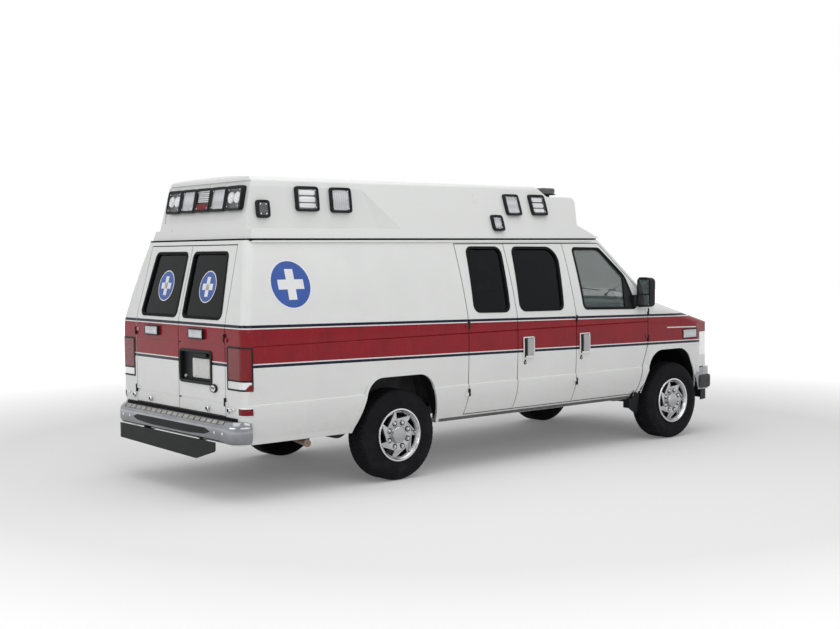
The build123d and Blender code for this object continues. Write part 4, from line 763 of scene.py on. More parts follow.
# ---- Door handles and locks: door, rear edge, side ----
HANDLE_LOW, HANDLE_TOP = 0.927, 1.125
for name, x, sign in (("front_door_right", 0.785, RIGHT), ("front_door_left", 0.785, LEFT),
                      ("side_door_front", 0.051, RIGHT)):
    body = f"{name}_body"
    place = cast_on(tree_of(name), 1, sign)
    outer = rect(x, x + 0.14, HANDLE_LOW, HANDLE_TOP, 0.014)
    lip = rect(x + 0.03, x + 0.131, HANDLE_LOW + 0.008, HANDLE_LOW + 0.026, 0.006)
    (Shape().plate(inset(outer, 0.0006), place, -0.001, 0.005, hole=inset(outer, 0.011), bevel=0.003,
                   step=0.03)
     .plate(lip, place, 0, 0.0105, bevel=0.005, step=0.03)
     .finish(f"{name}_handle_bezel", "plain_paint", body))
    cup = rect(x + 0.009, x + 0.131, HANDLE_LOW + 0.009, HANDLE_TOP - 0.009, 0.014)
    plate(f"{name}_handle_cup", "black_plastic", cup, place, -0.001, 0.001, body)
    # The pull is coloured grey: painted shade beside the white bezel.
    pull = rect(x + 0.052, x + 0.127, HANDLE_LOW + 0.022, HANDLE_TOP - 0.016, 0.012)
    (Shape().plate(pull, place, 0, 0.0085, bevel=0.006, step=0.03)
     .plate(inset(pull, 0.01), place, 0.008, 0.0098, bevel=0.001, step=0.03)
     .finish(f"{name}_handle_pull", "pull_grey", body))
    spot, out = place(x + 0.03, 0.893, 0.0005), Vector((0, sign, 0))
    (Shape().spun([(0.0165, 0), (0.016, 0.003), (0.0125, 0.0042), (0, 0.0038)], aimed(spot, out), 24)
     .plate(rect(x + 0.022, x + 0.038, 0.898, 0.92, 0.006), place, 0.0002, 0.003, bevel=0.001)
     .finish(f"{name}_lock_surround", "black_plastic", body))
    slit, half = spot + out * 0.0052, Vector((0.0012, 0.0012, 0.005))
    (Shape().dome(spot + out * 0.0035, out, 0.0095, 0.002, 20).box(slit - half, slit + half, 0.0004)
     .finish(f"{name}_lock", "bare_steel", body))

# ---- Rubber in the door gaps ----
FRONT_DOOR = [(0.75, 0.48, 0), (1.664, 0.48, 0.045), (1.695, 0.748, 0), (1.769, 0.971, 0.09),
              (1.769, 1.417, 0.08), (1.248, 1.962, 0.05), (0.75, 1.962, 0)]
REAR_DOORS = [(-0.727, 0.65, 0), (0.727, 0.65, 0), (0.727, 1.345, 0), (0.69, 1.962, 0), (-0.69, 1.962, 0),
              (-0.727, 1.345, 0)]
GAP_RUBBER, GAP_DEPTH = 0.003, -0.006


def add_gap(shape, points, place, closed=True):
    """Adds a bead of rubber along a gap."""
    return shape.tube([place(p[0], p[1], GAP_DEPTH) for p in points], GAP_RUBBER, 6, closed)


for sign, side in SIDES.items():
    beads = add_gap(Shape(), resample(rounded(FRONT_DOOR), 0.04), on_side(sign))
    if sign == RIGHT:
        add_gap(beads, resample(rounded(rect(-0.596, 0.75, 0.48, 1.962)), 0.04), on_side(sign))
        add_gap(beads, [(-0.009, 0.484 + 0.0493 * k) for k in range(31)], on_side(sign), False)
    beads.finish(f"door_gap_rubber_{side}", "black_rubber")
add_gap(Shape(), resample(rounded(REAR_DOORS), 0.04), on_rear).finish("door_gap_rubber_rear", "black_rubber")

# ---- Hinge sleeves with their pin heads and the joint between their knuckles ----
PIN_HEAD = [(0, 0.033), (0.0055, 0.0325), (0.006, 0.031), (0.0104, 0.0306), (0.0106, 0.029), (0.0106, 0.0012),
            (0.0098, 0.0004)]
SLEEVE = PIN_HEAD + [(radius, -height) for radius, height in reversed(PIN_HEAD)]
FRONT_HINGES = [(1.769, 1.03), (1.769, 1.29)]
LEAF_HINGES = [(0.75, 0.677), (0.75, 1.262), (-0.596, 0.677), (-0.596, 1.262)]
for name, spots in (
    ("side", [(x, s * 1.008, z) for s in SIDES
              for x, z in FRONT_HINGES + (LEAF_HINGES if s == RIGHT else [])]),
    ("rear", [(-2.856, s * 0.727, z) for s in SIDES for z in (0.76, 1.25)]),
):
    sleeves = Shape()
    for spot in spots:
        sleeves.spun(SLEEVE, Matrix.Translation(spot), 20)
    sleeves.finish(f"{name}_hinge_sleeves", "black_plastic")

# Sprung stops along the foot of the rear doors and beside them: left, up, body, height
for k, (y, z, body, height) in enumerate((
    (0.775, 0.7, "body", 0.014), (0.47, 0.69, "rear_door_left_body", 0.025),
    (-0.47, 0.69, "rear_door_right_body", 0.025), (-0.775, 0.7, "body", 0.014),
)):
    foot = on_rear(y, z, 0)
    Shape().spun([
        (0.014, -0.001), (0.014, 0.003), (0.006, 0.005), (0.006, height - 0.009), (0.0215, height - 0.008),
        (0.0235, height - 0.005), (0.0215, height), (0.0155, height), (0.0145, height - 0.003),
        (0, height - 0.003),
    ], aimed(foot, BACKWARD), 28).finish(f"door_stop_{k}", "chrome", body)
    (Shape().dome(foot + BACKWARD * (height - 0.0032), BACKWARD, 0.0135, 0.0035, 20)
     .finish(f"door_stop_core_{k}", "black_rubber", body))

# ---- Roof lamps: rim, dish darkened as painted shade, lens ----
# Rear edge, width, foot, height, in the recess or not, kind
SIDE_LAMPS = [
    (-2.152, 0.215, 2.230, 0.197, True, "ribbed"),
    (-1.813, 0.202, 2.222, 0.203, True, "plain"),
    (-2.526, 0.114, 2.173, 0.137, True, "dark"),
    (0.124, 0.179, 2.222, 0.192, False, "plain"),
    (0.449, 0.193, 2.226, 0.191, False, "ribbed"),
    (-0.087, 0.128, 2.079, 0.141, False, "plain"),
]
LAMP_CORNER, LAMP_FACE, SCREW_INSET = 0.024, 0.0285, 0.031


def lamp_optics(name, kind, u, v, half_u, half_v, place, normal):
    """What shines in a lamp, round its middle."""
    optics = Shape()
    if kind == "ribbed":
        wide, tall = half_u * 0.9, half_v * 0.9
        for foot, top in ((-1.0, -0.52), (-0.36, 0.24), (0.42, 1.0)):
            lobe = rect(u - wide, u + wide, v + tall * foot, v + tall * top, 0.012)
            optics.plate(lobe, place, 0.012, 0.0205, bevel=0.006, step=0.02)
    elif kind == "plain":
        face = rect(u - half_u, u + half_u, v - half_v, v + half_v, 0.018)
        optics.plate(face, place, 0.012, 0.0205, bevel=0.0075, step=0.02)
    elif kind == "dark":
        optics.ribs(rect(u - half_u, u + half_u, v - half_v, v + half_v), place, 0.013, 0.02, 5, True)
    else:
        rows = [(half_u * part, height) for part, height in (
            (0, 0.0125), (0.18, 0.013), (0.4, 0.017), (0.47, 0.0225), (0.5, 0.0225), (0.5, 0.012), (0, 0.011),
        )]
        for sign in (-1, 1):
            optics.spun(rows, aimed(place(u + sign * half_u * 0.5, v, 0), normal), 28, True)
    optics.finish(f"{name}_optics", {"plain": "pearl_lens", "dark": "smoke_lens"}.get(kind, "white_lens"))


def lamp_pieces(name, corners, place, normal, kind):
    """The rim, dish and lens of one warning lamp in its housing."""
    for part, outer, low, high, hole, bevel in (("rim", -0.002, 0.001, 0.0325, 0.010, 0.003),
                                                ("bezel", 0.011, 0.024, 0.0315, 0.016, 0.002)):
        plate(f"{name}_{part}", "black_plastic", inset(corners, outer), place, low, high,
              hole=inset(corners, hole), bevel=bevel, step=0.04)
    # The dish is darkened: painted shade inside the lamp.
    plate(f"{name}_dish", "dish_painted_shade", inset(corners, 0.015), place, 0.0082, 0.012, step=0.03)
    (u_low, u_high), (v_low, v_high) = span(corners, 0), span(corners, 1)
    if kind != "bare":
        lamp_optics(name, kind, (u_low + u_high) / 2, (v_low + v_high) / 2, (u_high - u_low) / 2 - 0.02,
                    (v_high - v_low) / 2 - 0.02, place, normal)
        plate(f"{name}_lens", "smoke_lens" if kind == "dark" else "outer_lens", inset(corners, 0.018), place,
              0.0255, LAMP_FACE, bevel=0.001)
    screws = Shape()
    for u in (u_low + SCREW_INSET, u_high - SCREW_INSET):
        for v in (v_low + SCREW_INSET, v_high - SCREW_INSET):
            screws.dome(place(u, v, LAMP_FACE), normal, 0.0055, 0.0025, 10)
    screws.finish(f"{name}_screws", "chrome")


for sign, side in SIDES.items():
    for k, (x, width, z, height, recessed, kind) in enumerate(SIDE_LAMPS):
        place = (on_recess if recessed else on_cap)(sign)
        lamp_pieces(f"roof_lamp_{side}_{k}", rect(x, x + width, z, z + height, LAMP_CORNER), place,
                    Vector((0, sign, CAP_SLOPE)).normalized(), kind)
for k, kind in enumerate(("round", "plain", "bare", "plain", "round")):
    y = 0.24 * (k - 2)
    lamp_pieces(f"rear_lamp_{k}", rect(y - 0.113, y + 0.113, 2.235, 2.428, LAMP_CORNER), on_cap_rear,
                Vector((-1, 0, 0.204)), kind)
    if kind == "bare":
        Shape().ribs(rect(-0.09, 0.09, 2.312, 2.41), on_cap_rear, 0.013, 0.0215, 6).finish(
            "rear_work_lamp", "white_lens")
        Shape().ribs(rect(-0.094, 0.094, 2.254, 2.302), on_cap_rear, 0.013, 0.03, 12, True).finish(
            "rear_high_lamp", "red_lens")

# ---- Tail lamps round the rear corners ----
CORNER_RADIUS, LAMP_INNER = 0.07, 0.758


def on_corner(sign):
    """Places round the rear corner, up, out: along the rear wall, the corner, then the side."""

    def place(u, v, w):
        edge = side_y(v) - CORNER_RADIUS
        straight = edge - LAMP_INNER
        back = rear_x(v)
        if u <= straight:
            return Vector((back - w, sign * (LAMP_INNER + u), v))
        arc = CORNER_RADIUS * pi / 2
        if u <= straight + arc:
            turn = (u - straight) / CORNER_RADIUS
            reach = CORNER_RADIUS + w
            return Vector((back + CORNER_RADIUS - reach * cos(turn), sign * (edge + reach * sin(turn)), v))
        return Vector((back + CORNER_RADIUS + u - straight - arc, sign * (side_y(v) + w), v))

    return place


for sign, side in SIDES.items():
    place = on_corner(sign)
    plate(f"tail_lamp_bezel_{side}", "black_plastic", rect(0.001, 0.292, 0.857, 1.191, 0.012), place,
          -0.001, 0.0045, hole=rect(0.014, 0.28, 0.87, 1.178, 0.008), bevel=0.002, step=0.012)
    lens = Shape()
    lens.plate(rect(0.015, 0.279, 0.938, 1.177, 0.006), place, -0.0005, 0.003, bevel=0.001, step=0.012)
    for k in range(5):
        low = 0.944 + k * 0.0465
        rib = rect(0.022, 0.272, low, low + 0.0415, 0.004)
        lens.plate(rib, place, 0.0025, 0.0042, bevel=0.001, step=0.012)
    lens.finish(f"tail_lamp_lens_{side}", "red_lens")
    plate(f"reverse_lamp_lens_{side}", "white_lens", rect(0.015, 0.279, 0.871, 0.926, 0.006), place,
          -0.0005, 0.004, bevel=0.0015, step=0.012)
    plate(f"tail_lamp_divider_{side}", "black_plastic", rect(0.013, 0.281, 0.926, 0.938, 0.001), place,
          -0.0005, 0.0044, bevel=0.001, step=0.012)
    marker = rect(0.15, 0.296, 0.664, 0.734, 0.014)
    plate(f"side_marker_bezel_{side}", "chrome", marker, place, -0.001, 0.0045, slot="black_plastic",
          hole=inset(marker, 0.01), bevel=0.003, step=0.012)
    plate(f"side_marker_lens_{side}", "red_lens", inset(marker, 0.009), place, -0.001, 0.0036, bevel=0.002,
          step=0.012)
    catch = Shape()
    for u, v in ((0.06, 0.7), (0.1, 0.712)):
        spot = place(u, v, 0)
        catch.box(spot - Vector((0.012, 0.01, 0.012)), spot + Vector((0.002, 0.01, 0.012)), 0.003)
    catch.finish(f"corner_catch_{side}", "chrome")

# ---- Rear doors: plate recess, lamps, handle ----
RECESS = flipped(rect(0.042, 0.513, 0.89, 1.121, 0.012))
PLATE = rect(-0.495, -0.192, 0.916, 1.068, 0.012)
door = "rear_door_right_body"
for part, outer, low, high, shape in (
    ("rim", -0.0195, -0.0005, 0.01, dict(hole=inset(RECESS, 0.003), bevel=0.004)),
    ("walls", 0.0005, -0.0275, 0.0002, dict(hole=inset(RECESS, 0.004))),
    ("floor", 0.0008, -0.0279, -0.025, {}),
):
    plate(f"plate_recess_{part}", "black_plastic", inset(RECESS, outer), on_rear, low, high, door, **shape)
(Shape().plate(PLATE, on_rear, -0.025, -0.0205, bevel=0.001)
 .plate(inset(PLATE, 0.004), on_rear, -0.021, -0.0195, hole=inset(PLATE, 0.009), bevel=0.0004)
 .finish("rear_plate", "blank_plate", door))
screws = Shape()
for u in (-0.44, -0.247):
    for v in (0.928, 1.056):
        screws.dome(on_rear(u, v, -0.0205), BACKWARD, 0.006, 0.003, 10)
(screws.dome(on_rear(-0.082, 0.918, -0.025), BACKWARD, 0.017, 0.014, 24)
 .dome(on_rear(-0.082, 0.918, -0.011), BACKWARD, 0.009, 0.002).finish("plate_screws", "bare_steel", door))
plate("plate_lamp_hood", "black_plastic", rect(-0.435, -0.25, 1.082, 1.112, 0.006), on_rear, -0.026, -0.004,
      door, bevel=0.004, step=0.04)
for side, u_low, u_high in (("left", 0.316, 0.536), ("right", -0.422, -0.195)):
    body = f"rear_door_{side}_body"
    box = rect(u_low, u_high, 1.227, 1.305, 0.01)
    plate(f"door_lamp_rim_{side}", "black_plastic", inset(box, -0.0018), on_rear, -0.0005, 0.0225, body,
          hole=inset(box, 0.008), bevel=0.003, step=0.04)
    (Shape().plate(inset(box, 0.0075), on_rear, 0.018, 0.0206, step=0.04)
     .ribs(rect(u_low + 0.01, u_high - 0.01, 1.237, 1.295), on_rear, 0.0195, 0.0222, 9, True)
     .finish(f"door_lamp_lens_{side}", "grey_lens", body))
HANDLE_Y, HANDLE_Z = -0.561, 0.853
oval = aimed(on_rear(HANDLE_Y, HANDLE_Z, 0), BACKWARD) @ Matrix.Diagonal((1.0, 0.665, 1.0, 1.0))
Shape().spun([(0.05, 0), (0.05, 0.012), (0.0475, 0.0155), (0.044, 0.0168), (0.038, 0.0168), (0.035, 0.0152),
              (0, 0.0152)], oval, 40).finish("rear_door_handle", "black_plastic", door)
pull = on_rear(HANDLE_Y, HANDLE_Z, 0.0135)
(Shape().box(pull - Vector((0.006, 0.024, 0.006)), pull + Vector((0.001, 0.024, 0.01)), 0.003)
 .finish("rear_door_pull", "grey_plastic", door))
plate("rear_door_seal", "black_rubber", rect(-0.03, 0.002, 0.66, 1.95, 0.002), on_rear, -0.006, -0.0015, door)

# ---- Rear bumper: a rolled section swept round the corners, step treads on its shoulder ----
BUMPER_BACK, BUMPER_HALF, BUMPER_BEND, BUMPER_END_X = -2.942, 0.998, 0.148, -2.78
BUMPER_DEPTH, BUMPER_END_DEPTH = 0.086, 0.016
# Inwards, height: the outer run and then the inner run
BUMPER_SECTION = [
    (0.086, 0.625), (0.042, 0.625), (0.034, 0.6225), (0.009, 0.596), (0.003, 0.585), (0, 0.572), (0, 0.506),
    (0.003, 0.488), (0.012, 0.468), (0.022, 0.458), (0.032, 0.4552), (0.04, 0.4552), (0.04, 0.464),
    (0.024, 0.47), (0.014, 0.492), (0.012, 0.57), (0.018, 0.59), (0.046, 0.612), (0.086, 0.612),
]


def bumper_run():
    """Stations round the rear bumper: place, direction outwards, how deep the section may reach."""
    straight = BUMPER_HALF - BUMPER_BEND
    middle = [
        (Vector((BUMPER_BACK, y)), Vector((-1, 0)), BUMPER_DEPTH) for y in spread(25, -straight, straight)
    ]
    ends = {}
    for sign in SIDES:
        centre = Vector((BUMPER_BACK + BUMPER_BEND, sign * straight))
        ends[sign] = []
        for k in range(1, 13):
            turn = radians(90 * k / 12)
            out = Vector((-cos(turn), sign * sin(turn)))
            depth = BUMPER_DEPTH - (BUMPER_DEPTH - BUMPER_END_DEPTH) * sin(turn) ** 2
            ends[sign].append((centre + out * BUMPER_BEND, out, depth))
        ends[sign].append((Vector((BUMPER_END_X, sign * BUMPER_HALF)), Vector((0, sign)), BUMPER_END_DEPTH))
    return ends[RIGHT][::-1] + middle + ends[LEFT]


bar = Shape()
rings = []
for spot, out, reach in bumper_run():
    ring = [(spot - out * min(inwards, reach), z) for inwards, z in BUMPER_SECTION]
    rings.append([bar.mesh.verts.new((*p, z)) for p, z in ring])
bridge(bar.mesh, rings)
bar.finish("rear_bumper_bar", "bumper_chrome", stands_for="rear_bumper", sharp=50)
on_bumper_back = facing_back(lambda v: BUMPER_BACK)


def on_shoulder(u, v, w):
    """Places left, down the slope from its top edge, out on the bumper's shoulder."""
    along, out = Vector((-0.6865, 0, -0.7272)), Vector((-0.7272, 0, 0.6865))
    return Vector((BUMPER_BACK + 0.034, u, 0.6225)) + along * v + out * w


def on_bumper_top(u, v, w):
    """Places left, back from the door side, up on the bumper's top."""
    return Vector((-2.862 - v, u, 0.625 + w))


(Shape().plate(rect(-0.815, 0.815, 0.001, 0.035, 0.006), on_shoulder, -0.001, 0.0006, step=0.2)
 .plate(rect(-0.86, 0.86, 0, 0.036, 0.006), on_bumper_top, -0.001, 0.0012, step=0.2)
 .finish("rear_step_base", "black_rubber"))
treads = Shape()
for k in range(18):
    low = -0.806 + 0.0898 * k
    treads.plate(rect(low, low + 0.073, 0.003, 0.033, 0.003), on_shoulder, 0.0002, 0.003, bevel=0.001)
    for v in (0.0055, 0.014, 0.0225):
        treads.plate(rect(low + 0.004, low + 0.069, v, v + 0.005), on_shoulder, 0.0025, 0.0042, bevel=0.0008)
treads.finish("rear_step_treads", "step_tread")
TAPER = [(-0.64, 0.532, 0.004), (-0.56, 0.508, 0.03), (-0.3, 0.494, 0.2), (0.3, 0.494, 0.2),
         (0.56, 0.508, 0.03), (0.64, 0.532, 0.004), (0.56, 0.556, 0.03), (-0.56, 0.556, 0.03)]
panel = Shape().plate(TAPER, on_bumper_back, -0.001, 0.001, bevel=0.0006, step=0.06)
for k in range(4):
    low = 0.5125 + 0.0105 * k
    panel.plate(rect(-0.54, 0.54, low, low + 0.006), on_bumper_back, 0.0005, 0.0022, bevel=0.0008, step=0.2)
panel.finish("rear_bumper_inset", "black_plastic")
bolts = Shape()
for y in (-0.82, -0.7, 0.7, 0.82):
    bolts.dome((BUMPER_BACK + 0.0004, y, 0.532), BACKWARD, 0.012, 0.0028, 18)
bolts.finish("rear_bumper_bolts", "chrome")
Shape().box((-2.862, -0.9, 0.6), (-2.846, 0.9, 0.646)).finish("rear_bumper_gap_strip", "black_rubber")

# ---- Side trim ----
for sign, side in SIDES.items():
    place = on_side(sign)
    strip = Shape()
    strip.plate(rect(-0.865, 1.6, 0.437, 0.463, 0.004), place, 0.0005, 0.0045, bevel=0.0015, step=0.08)
    for x in spread(21, -0.82, 1.56):
        strip.dome(place(x, 0.45, 0.0045), (0, sign, -0.3), 0.006, 0.004, 10)
    strip.finish(f"rocker_strip_{side}", "chassis_trim")
    plate(f"roof_seal_bead_{side}", "black_rubber", rect(-2.66, 1.21, 1.9895, 2.0105, 0.002),
          facing_side(lambda v: CAP_HALF)(sign), -0.0005, 0.0035, bevel=0.001, step=0.08)
plate("roof_seal_bead_rear", "black_rubber", rect(-0.735, 0.735, 1.9895, 2.0105, 0.002),
      cast_on(tree_of("roof_seal"), 0, -1), -0.0005, 0.0035, step=0.08)

# Arches' outlines: forward of the axle, height, corner radius; and the axle
ARCHES = {
    "rear": ([(-0.467, 0.374, 0), (-0.321, 0.876, 0.17), (0.313, 0.876, 0.17), (0.461, 0.374, 0)], REAR_AXLE),
    "front": ([(-0.549, 0.374, 0), (-0.303, 0.904, 0.2), (0.211, 0.904, 0.2), (0.458, 0.374, 0)], FRONT_AXLE),
}
ARCH_FOOT, ARCH_STEP = 0.436, 0.03


def arch_path(end, grow, front_start=None):
    """The points along an arch above its foot, grown outwards; the front one's from a start on."""
    corners, axle = ARCHES[end]
    points = [Vector((axle + p.x, p.y)) for p in rounded(inset(corners, -grow), 0.02)]
    first, last = points[0], points[-1]
    points[0] = first + (points[1] - first) / (points[1].y - first.y) * (ARCH_FOOT - first.y)
    points[-1] = last + (points[-2] - last) / (points[-2].y - last.y) * (ARCH_FOOT - last.y)
    path = resample(points, ARCH_STEP)[:1 - ceil((points[-1] - points[0]).length / ARCH_STEP)]
    return [p for p in path if end == "rear" or front_start is None or p.x > front_start]


for sign, side in SIDES.items():
    place = on_side(sign)
    for end in ARCHES:
        (Shape().tube([place(p.x, p.y, 0.0035) for p in arch_path(end, 0, 1.785)], 0.0035, 8)
         .finish(f"{end}_arch_trim_{side}", "chrome"))

# ---- Mirrors ----
MIRROR_X = 1.608
for sign, side in SIDES.items():
    body = f"front_door_{side}_body"

    def on_mirror(u, v, w):
        """Places outwards, up, back on a mirror's face."""
        return Vector((MIRROR_X - w, sign * u, v))

    def on_spotter(u, v, w):
        """The same on the bulging lower mirror."""
        return on_mirror(u, v, w + 0.004 * (1 - ((u - 1.0885) / 0.07) ** 2))

    plate(f"mirror_glass_{side}", "mirror_face", rect(1.022, 1.155, 1.47, 1.608, 0.016), on_mirror, 0, 0.004,
          body, bevel=0.001, step=0.03)
    plate(f"spotter_mirror_{side}", "mirror_face", rect(1.022, 1.155, 1.36, 1.458, 0.016), on_spotter,
          0, 0.0035, body, bevel=0.001, step=0.015)
    outer = rect(1.018, 1.159, 1.355, 1.613, 0.02)
    (Shape().plate(inset(outer, -0.001), on_mirror, 0.0005, 0.0055, hole=inset(outer, 0.004), bevel=0.001,
                   step=0.04)
     .plate(rect(1.02, 1.157, 1.459, 1.469, 0.002), on_mirror, 0.0005, 0.0055, bevel=0.001, step=0.04)
     .finish(f"mirror_frame_{side}", "black_plastic", body))

# ---- Wheels: treaded tyres, bright rings, nuts ----
BEAD, TYRE_RADIUS, TYRE_HALF = 0.2053, 0.38, 0.1225
BLOCKS, STEPS, GROOVE = 56, 6, 0.008
# Tread ribs from the middle out: inner edge, outer edge, phase of the cross cuts
TREAD_RIBS = [(0.0, 0.0135, 0), (0.0185, 0.044, 3), (0.0495, 0.0805, 0)]
TREAD_HALF = TREAD_RIBS[-1][1]


def tyre_rows():
    """Rows across half the tyre: radius, height, and the rib that a tread point belongs to."""
    wall = rounded([
        (BEAD, 0.104, 0), (BEAD + 0.027, 0.106, 0), (0.3, TYRE_HALF, 0.06), (0.37, 0.1075, 0.024),
        (TYRE_RADIUS, TREAD_HALF, 0), (0.3, 0, 0),
    ], 0.009)[:-2]
    # Two thin rings are raised on the wall
    rows = [(p.x, p.y + (0.0012 if 0.262 < p.x < 0.268 or 0.334 < p.x < 0.34 else 0), None) for p in wall]
    rows.append((TYRE_RADIUS, TREAD_HALF, len(TREAD_RIBS) - 1))
    for k, (inner, outer, _) in reversed(list(enumerate(TREAD_RIBS))):
        if k < len(TREAD_RIBS) - 1:
            rows += [(TYRE_RADIUS - GROOVE, outer + 0.001, None), (TYRE_RADIUS, outer - 0.001, k)]
        if inner > 0:
            rows += [(TYRE_RADIUS, inner + 0.001, k), (TYRE_RADIUS - GROOVE, inner - 0.001, None)]
    return rows


def add_tyre(shape, place):
    """Adds a treaded tyre about z, its outer side up, carried to its place."""
    half = tyre_rows()
    rings = []
    for k in range(BLOCKS * STEPS):
        angle = 2 * pi * k / (BLOCKS * STEPS)
        ring = []
        for radius, height, rib in half + [(r, -h, rib) for r, h, rib in reversed(half)]:
            shift = k + (3 if height < 0 else 0)
            if rib is not None:
                if (shift + TREAD_RIBS[rib][2]) % STEPS == 0:
                    radius -= GROOVE * (0.8 if rib == 2 else 0.45)
            elif 0.352 < radius < 0.3795 and abs(height) > 0.085 and shift % STEPS == 0:
                radius -= 0.003
            ring.append(shape.mesh.verts.new((radius * cos(angle), radius * sin(angle), height)))
        rings.append(ring)
    bridge(shape.mesh, rings, closed=True)
    shape.mesh.transform(place)
    return shape


for end, x, hub_y in (("front", FRONT_AXLE, 0.8815), ("rear", REAR_AXLE, 0.852)):
    for sign in (LEFT, RIGHT):
        name, body = f"{end}_{SIDES[sign]}", f"{end}_wheel_{SIDES[sign]}"
        out = Vector((0, sign, 0))
        outward = aimed((x, sign * hub_y, HUB_Z), out)
        (add_tyre(Shape(), outward)
         .finish(f"tyre_tread_{name}", "tyre_rubber", body, stands_for=f"tyre_{name}", sharp=28))
        Shape().spun([
            (0.205, 0.1145), (0.2075, 0.1195), (0.213, 0.1205), (0.2195, 0.119), (0.2215, 0.115),
            (0.2205, 0.1135), (0.213, 0.114),
        ], outward, 72, True).finish(f"wheel_trim_ring_{name}", "chrome", body)
        nuts, seats = Shape(), Shape()
        for k in range(8):
            angle = 2 * pi * (k + 0.5) / 8
            spot = outward @ Matrix.Translation((0.105 * cos(angle), 0.105 * sin(angle), 0.0955))
            nuts.spun([(0.0125, 0), (0.0125, 0.01), (0.0108, 0.0125), (0.006, 0.014), (0, 0.0142)], spot, 6)
            nuts.spun([(0.015, 0.0005), (0.0148, 0.0032), (0.012, 0.0036)], spot, 16)
            # The cover's seat round each nut is coloured black: painted shade in the recess.
            seats.spun([(0.0145, 0.003), (0.0225, 0.0046), (0.0245, 0.003), (0.0245, -0.002)], spot, 20)
        nuts.finish(f"wheel_nuts_{name}", "chrome", body)
        seats.finish(f"wheel_nut_shade_rings_{name}", "black_plastic", body, "cover_silver")
        Shape().spun([
            (0.07, 0.1055), (0.0695, 0.1125), (0.064, 0.1188), (0.056, 0.1205), (0.05, 0.1196),
            (0.045, 0.1215), (0.025, 0.1238), (0, 0.1245),
        ], outward).finish(f"wheel_centre_{name}", "cover_silver", body)
        valve = outward @ Vector((0.16, 0.02, 0.098))
        (Shape().tube([valve, valve + out * 0.014, valve + out * 0.022], 0.0035, 8)
         .finish(f"tyre_valve_{name}", "black_rubber", body))

# ---- Light bar, wipers ----
domes, base = Shape(), Shape()
for k in range(6):
    low = -0.53 + 0.177 * k
    domes.box((0.792, low + 0.004, 2.4385), (0.968, low + 0.171, 2.4985), 0.02)
base.boxes(((0.797, -0.534, 2.43), (0.963, 0.534, 2.441)),
           ((0.812, -0.47, 2.4025), (0.948, 0.47, 2.432), 0.006))
for y in (-0.4, 0.4):
    base.box((0.8, y - 0.03, 2.4025), (0.96, y + 0.03, 2.415))
domes.finish("light_bar_domes", "smoke_lens", stands_for="light_bar")
base.finish("light_bar_base", "black_plastic", stands_for="light_bar")

wipers = Shape()
for sign in SIDES:
    u = sign * 0.3
    wipers.spun([(0.016, -0.012), (0.018, 0), (0.014, 0.008), (0, 0.01)],
                aimed(on_shield(u, 0.085, 0.012), SHIELD_OUT), 18)
    wipers.tube([on_shield(u - t * 0.33, 0.085 + 0.09 * t + 0.16 * t * (1 - t), 0.012 + 0.048 * t * (1 - t))
                 for t in spread(9, 0, 1)], 0.0045, 8)
    blade = [on_shield(u - 0.56 + 0.46 * t, 0.15 + 0.03 * t, 0.007) for t in spread(13, 0, 1)]
    wipers.tube(blade, 0.005, 6).tube([p + SHIELD_OUT * -0.005 for p in blade], 0.003, 4)
wipers.finish("wipers", "black_plastic")

# ---- Front wheel arches: the fender's rear foot, black liners, splash shields ----
FENDER_FOOT = [
    (1.6645, 0.437, 0), (1.6645, 0.4865, 0), (1.6735, 0.49, 0), (1.7035, 0.748, 0), (1.7765, 0.966, 0),
    (1.792, 0.966, 0), (1.802, 0.8, 0.03), (1.79, 0.712, 0.06), (1.752, 0.6, 0.06), (1.701, 0.486, 0.02),
    (1.682, 0.437, 0.004),
]
SPLASH_SHIELD = [
    (1.56, 0.392, 0.01), (1.6, 0.334, 0.03), (1.69, 0.282, 0.012), (1.728, 0.3, 0.01), (1.733, 0.48, 0.03),
    (1.772, 0.64, 0.01), (1.75, 0.652, 0.01), (1.64, 0.436, 0.01), (1.565, 0.434, 0.004),
]
FOOT_EDGE = [Vector(FENDER_FOOT[6][:2]), *rounded(FENDER_FOOT[6:], 0.01)[1:-1], Vector(FENDER_FOOT[-1][:2])]
LINER_GROW, LINER_WALL_Y = 0.047, 0.5528
ARCH_CENTRE_Z = 0.45
LINING_GAP = 0.012


def lining_reach(sign, end):
    """How far out the lining of an arch runs at a point: just inside the body's skin above it."""
    skin = cast_on(front_tree, 1, sign)
    centre = Vector((ARCHES[end][1], ARCH_CENTRE_Z))

    def reach(p):
        out = p + (p - centre).normalized() * LINING_GAP
        if end == "rear" or out.x < 1.8:
            return sign * (side_y(out.y) - LINING_GAP)
        return skin(out.x, out.y, -LINING_GAP).y

    return reach


for sign, side in SIDES.items():
    place = on_side(sign)
    (Shape().plate(FENDER_FOOT, place, -0.0075, -0.0006, step=0.03)
     .tube([place(p.x, p.y, -0.0015) for p in FOOT_EDGE], 0.0045, 8)
     .finish(f"fender_foot_{side}", "coach_paint"))
    path = arch_path("front", LINER_GROW)
    wall = [(p.x, p.y, 0) for p in path if p.y > 0.655]
    (Shape().strip(path, Vector((FRONT_AXLE, ARCH_CENTRE_Z)), sign * LINER_WALL_Y,
                   lambda p: sign * (0.945 - 0.14 * max(0.0, p.x - 2.3)))
     .plate(wall, facing_side(lambda v: LINER_WALL_Y)(sign), 0, 0.002, step=0.1)
     .finish(f"arch_liner_{side}", "black_rubber", slot="black_plastic"))
    for end, (_, axle) in ARCHES.items():
        (Shape().strip(arch_path(end, -0.0015, 1.79), Vector((axle, ARCH_CENTRE_Z)), sign * 0.895,
                       lining_reach(sign, end))
         .finish(f"arch_lining_{end}_{side}", "black_rubber", slot="black_plastic"))
    leaning = facing_side(lambda v: 0.93 - (0.56 - v) * 0.1)(sign)
    (Shape().plate(SPLASH_SHIELD, leaning, -0.004, 0.004, bevel=0.002)
     .box((1.56, sign * 0.9 - 0.045, 0.345), (1.572, sign * 0.9 + 0.035, 0.436))
     .finish(f"splash_shield_{side}", "black_plastic"))

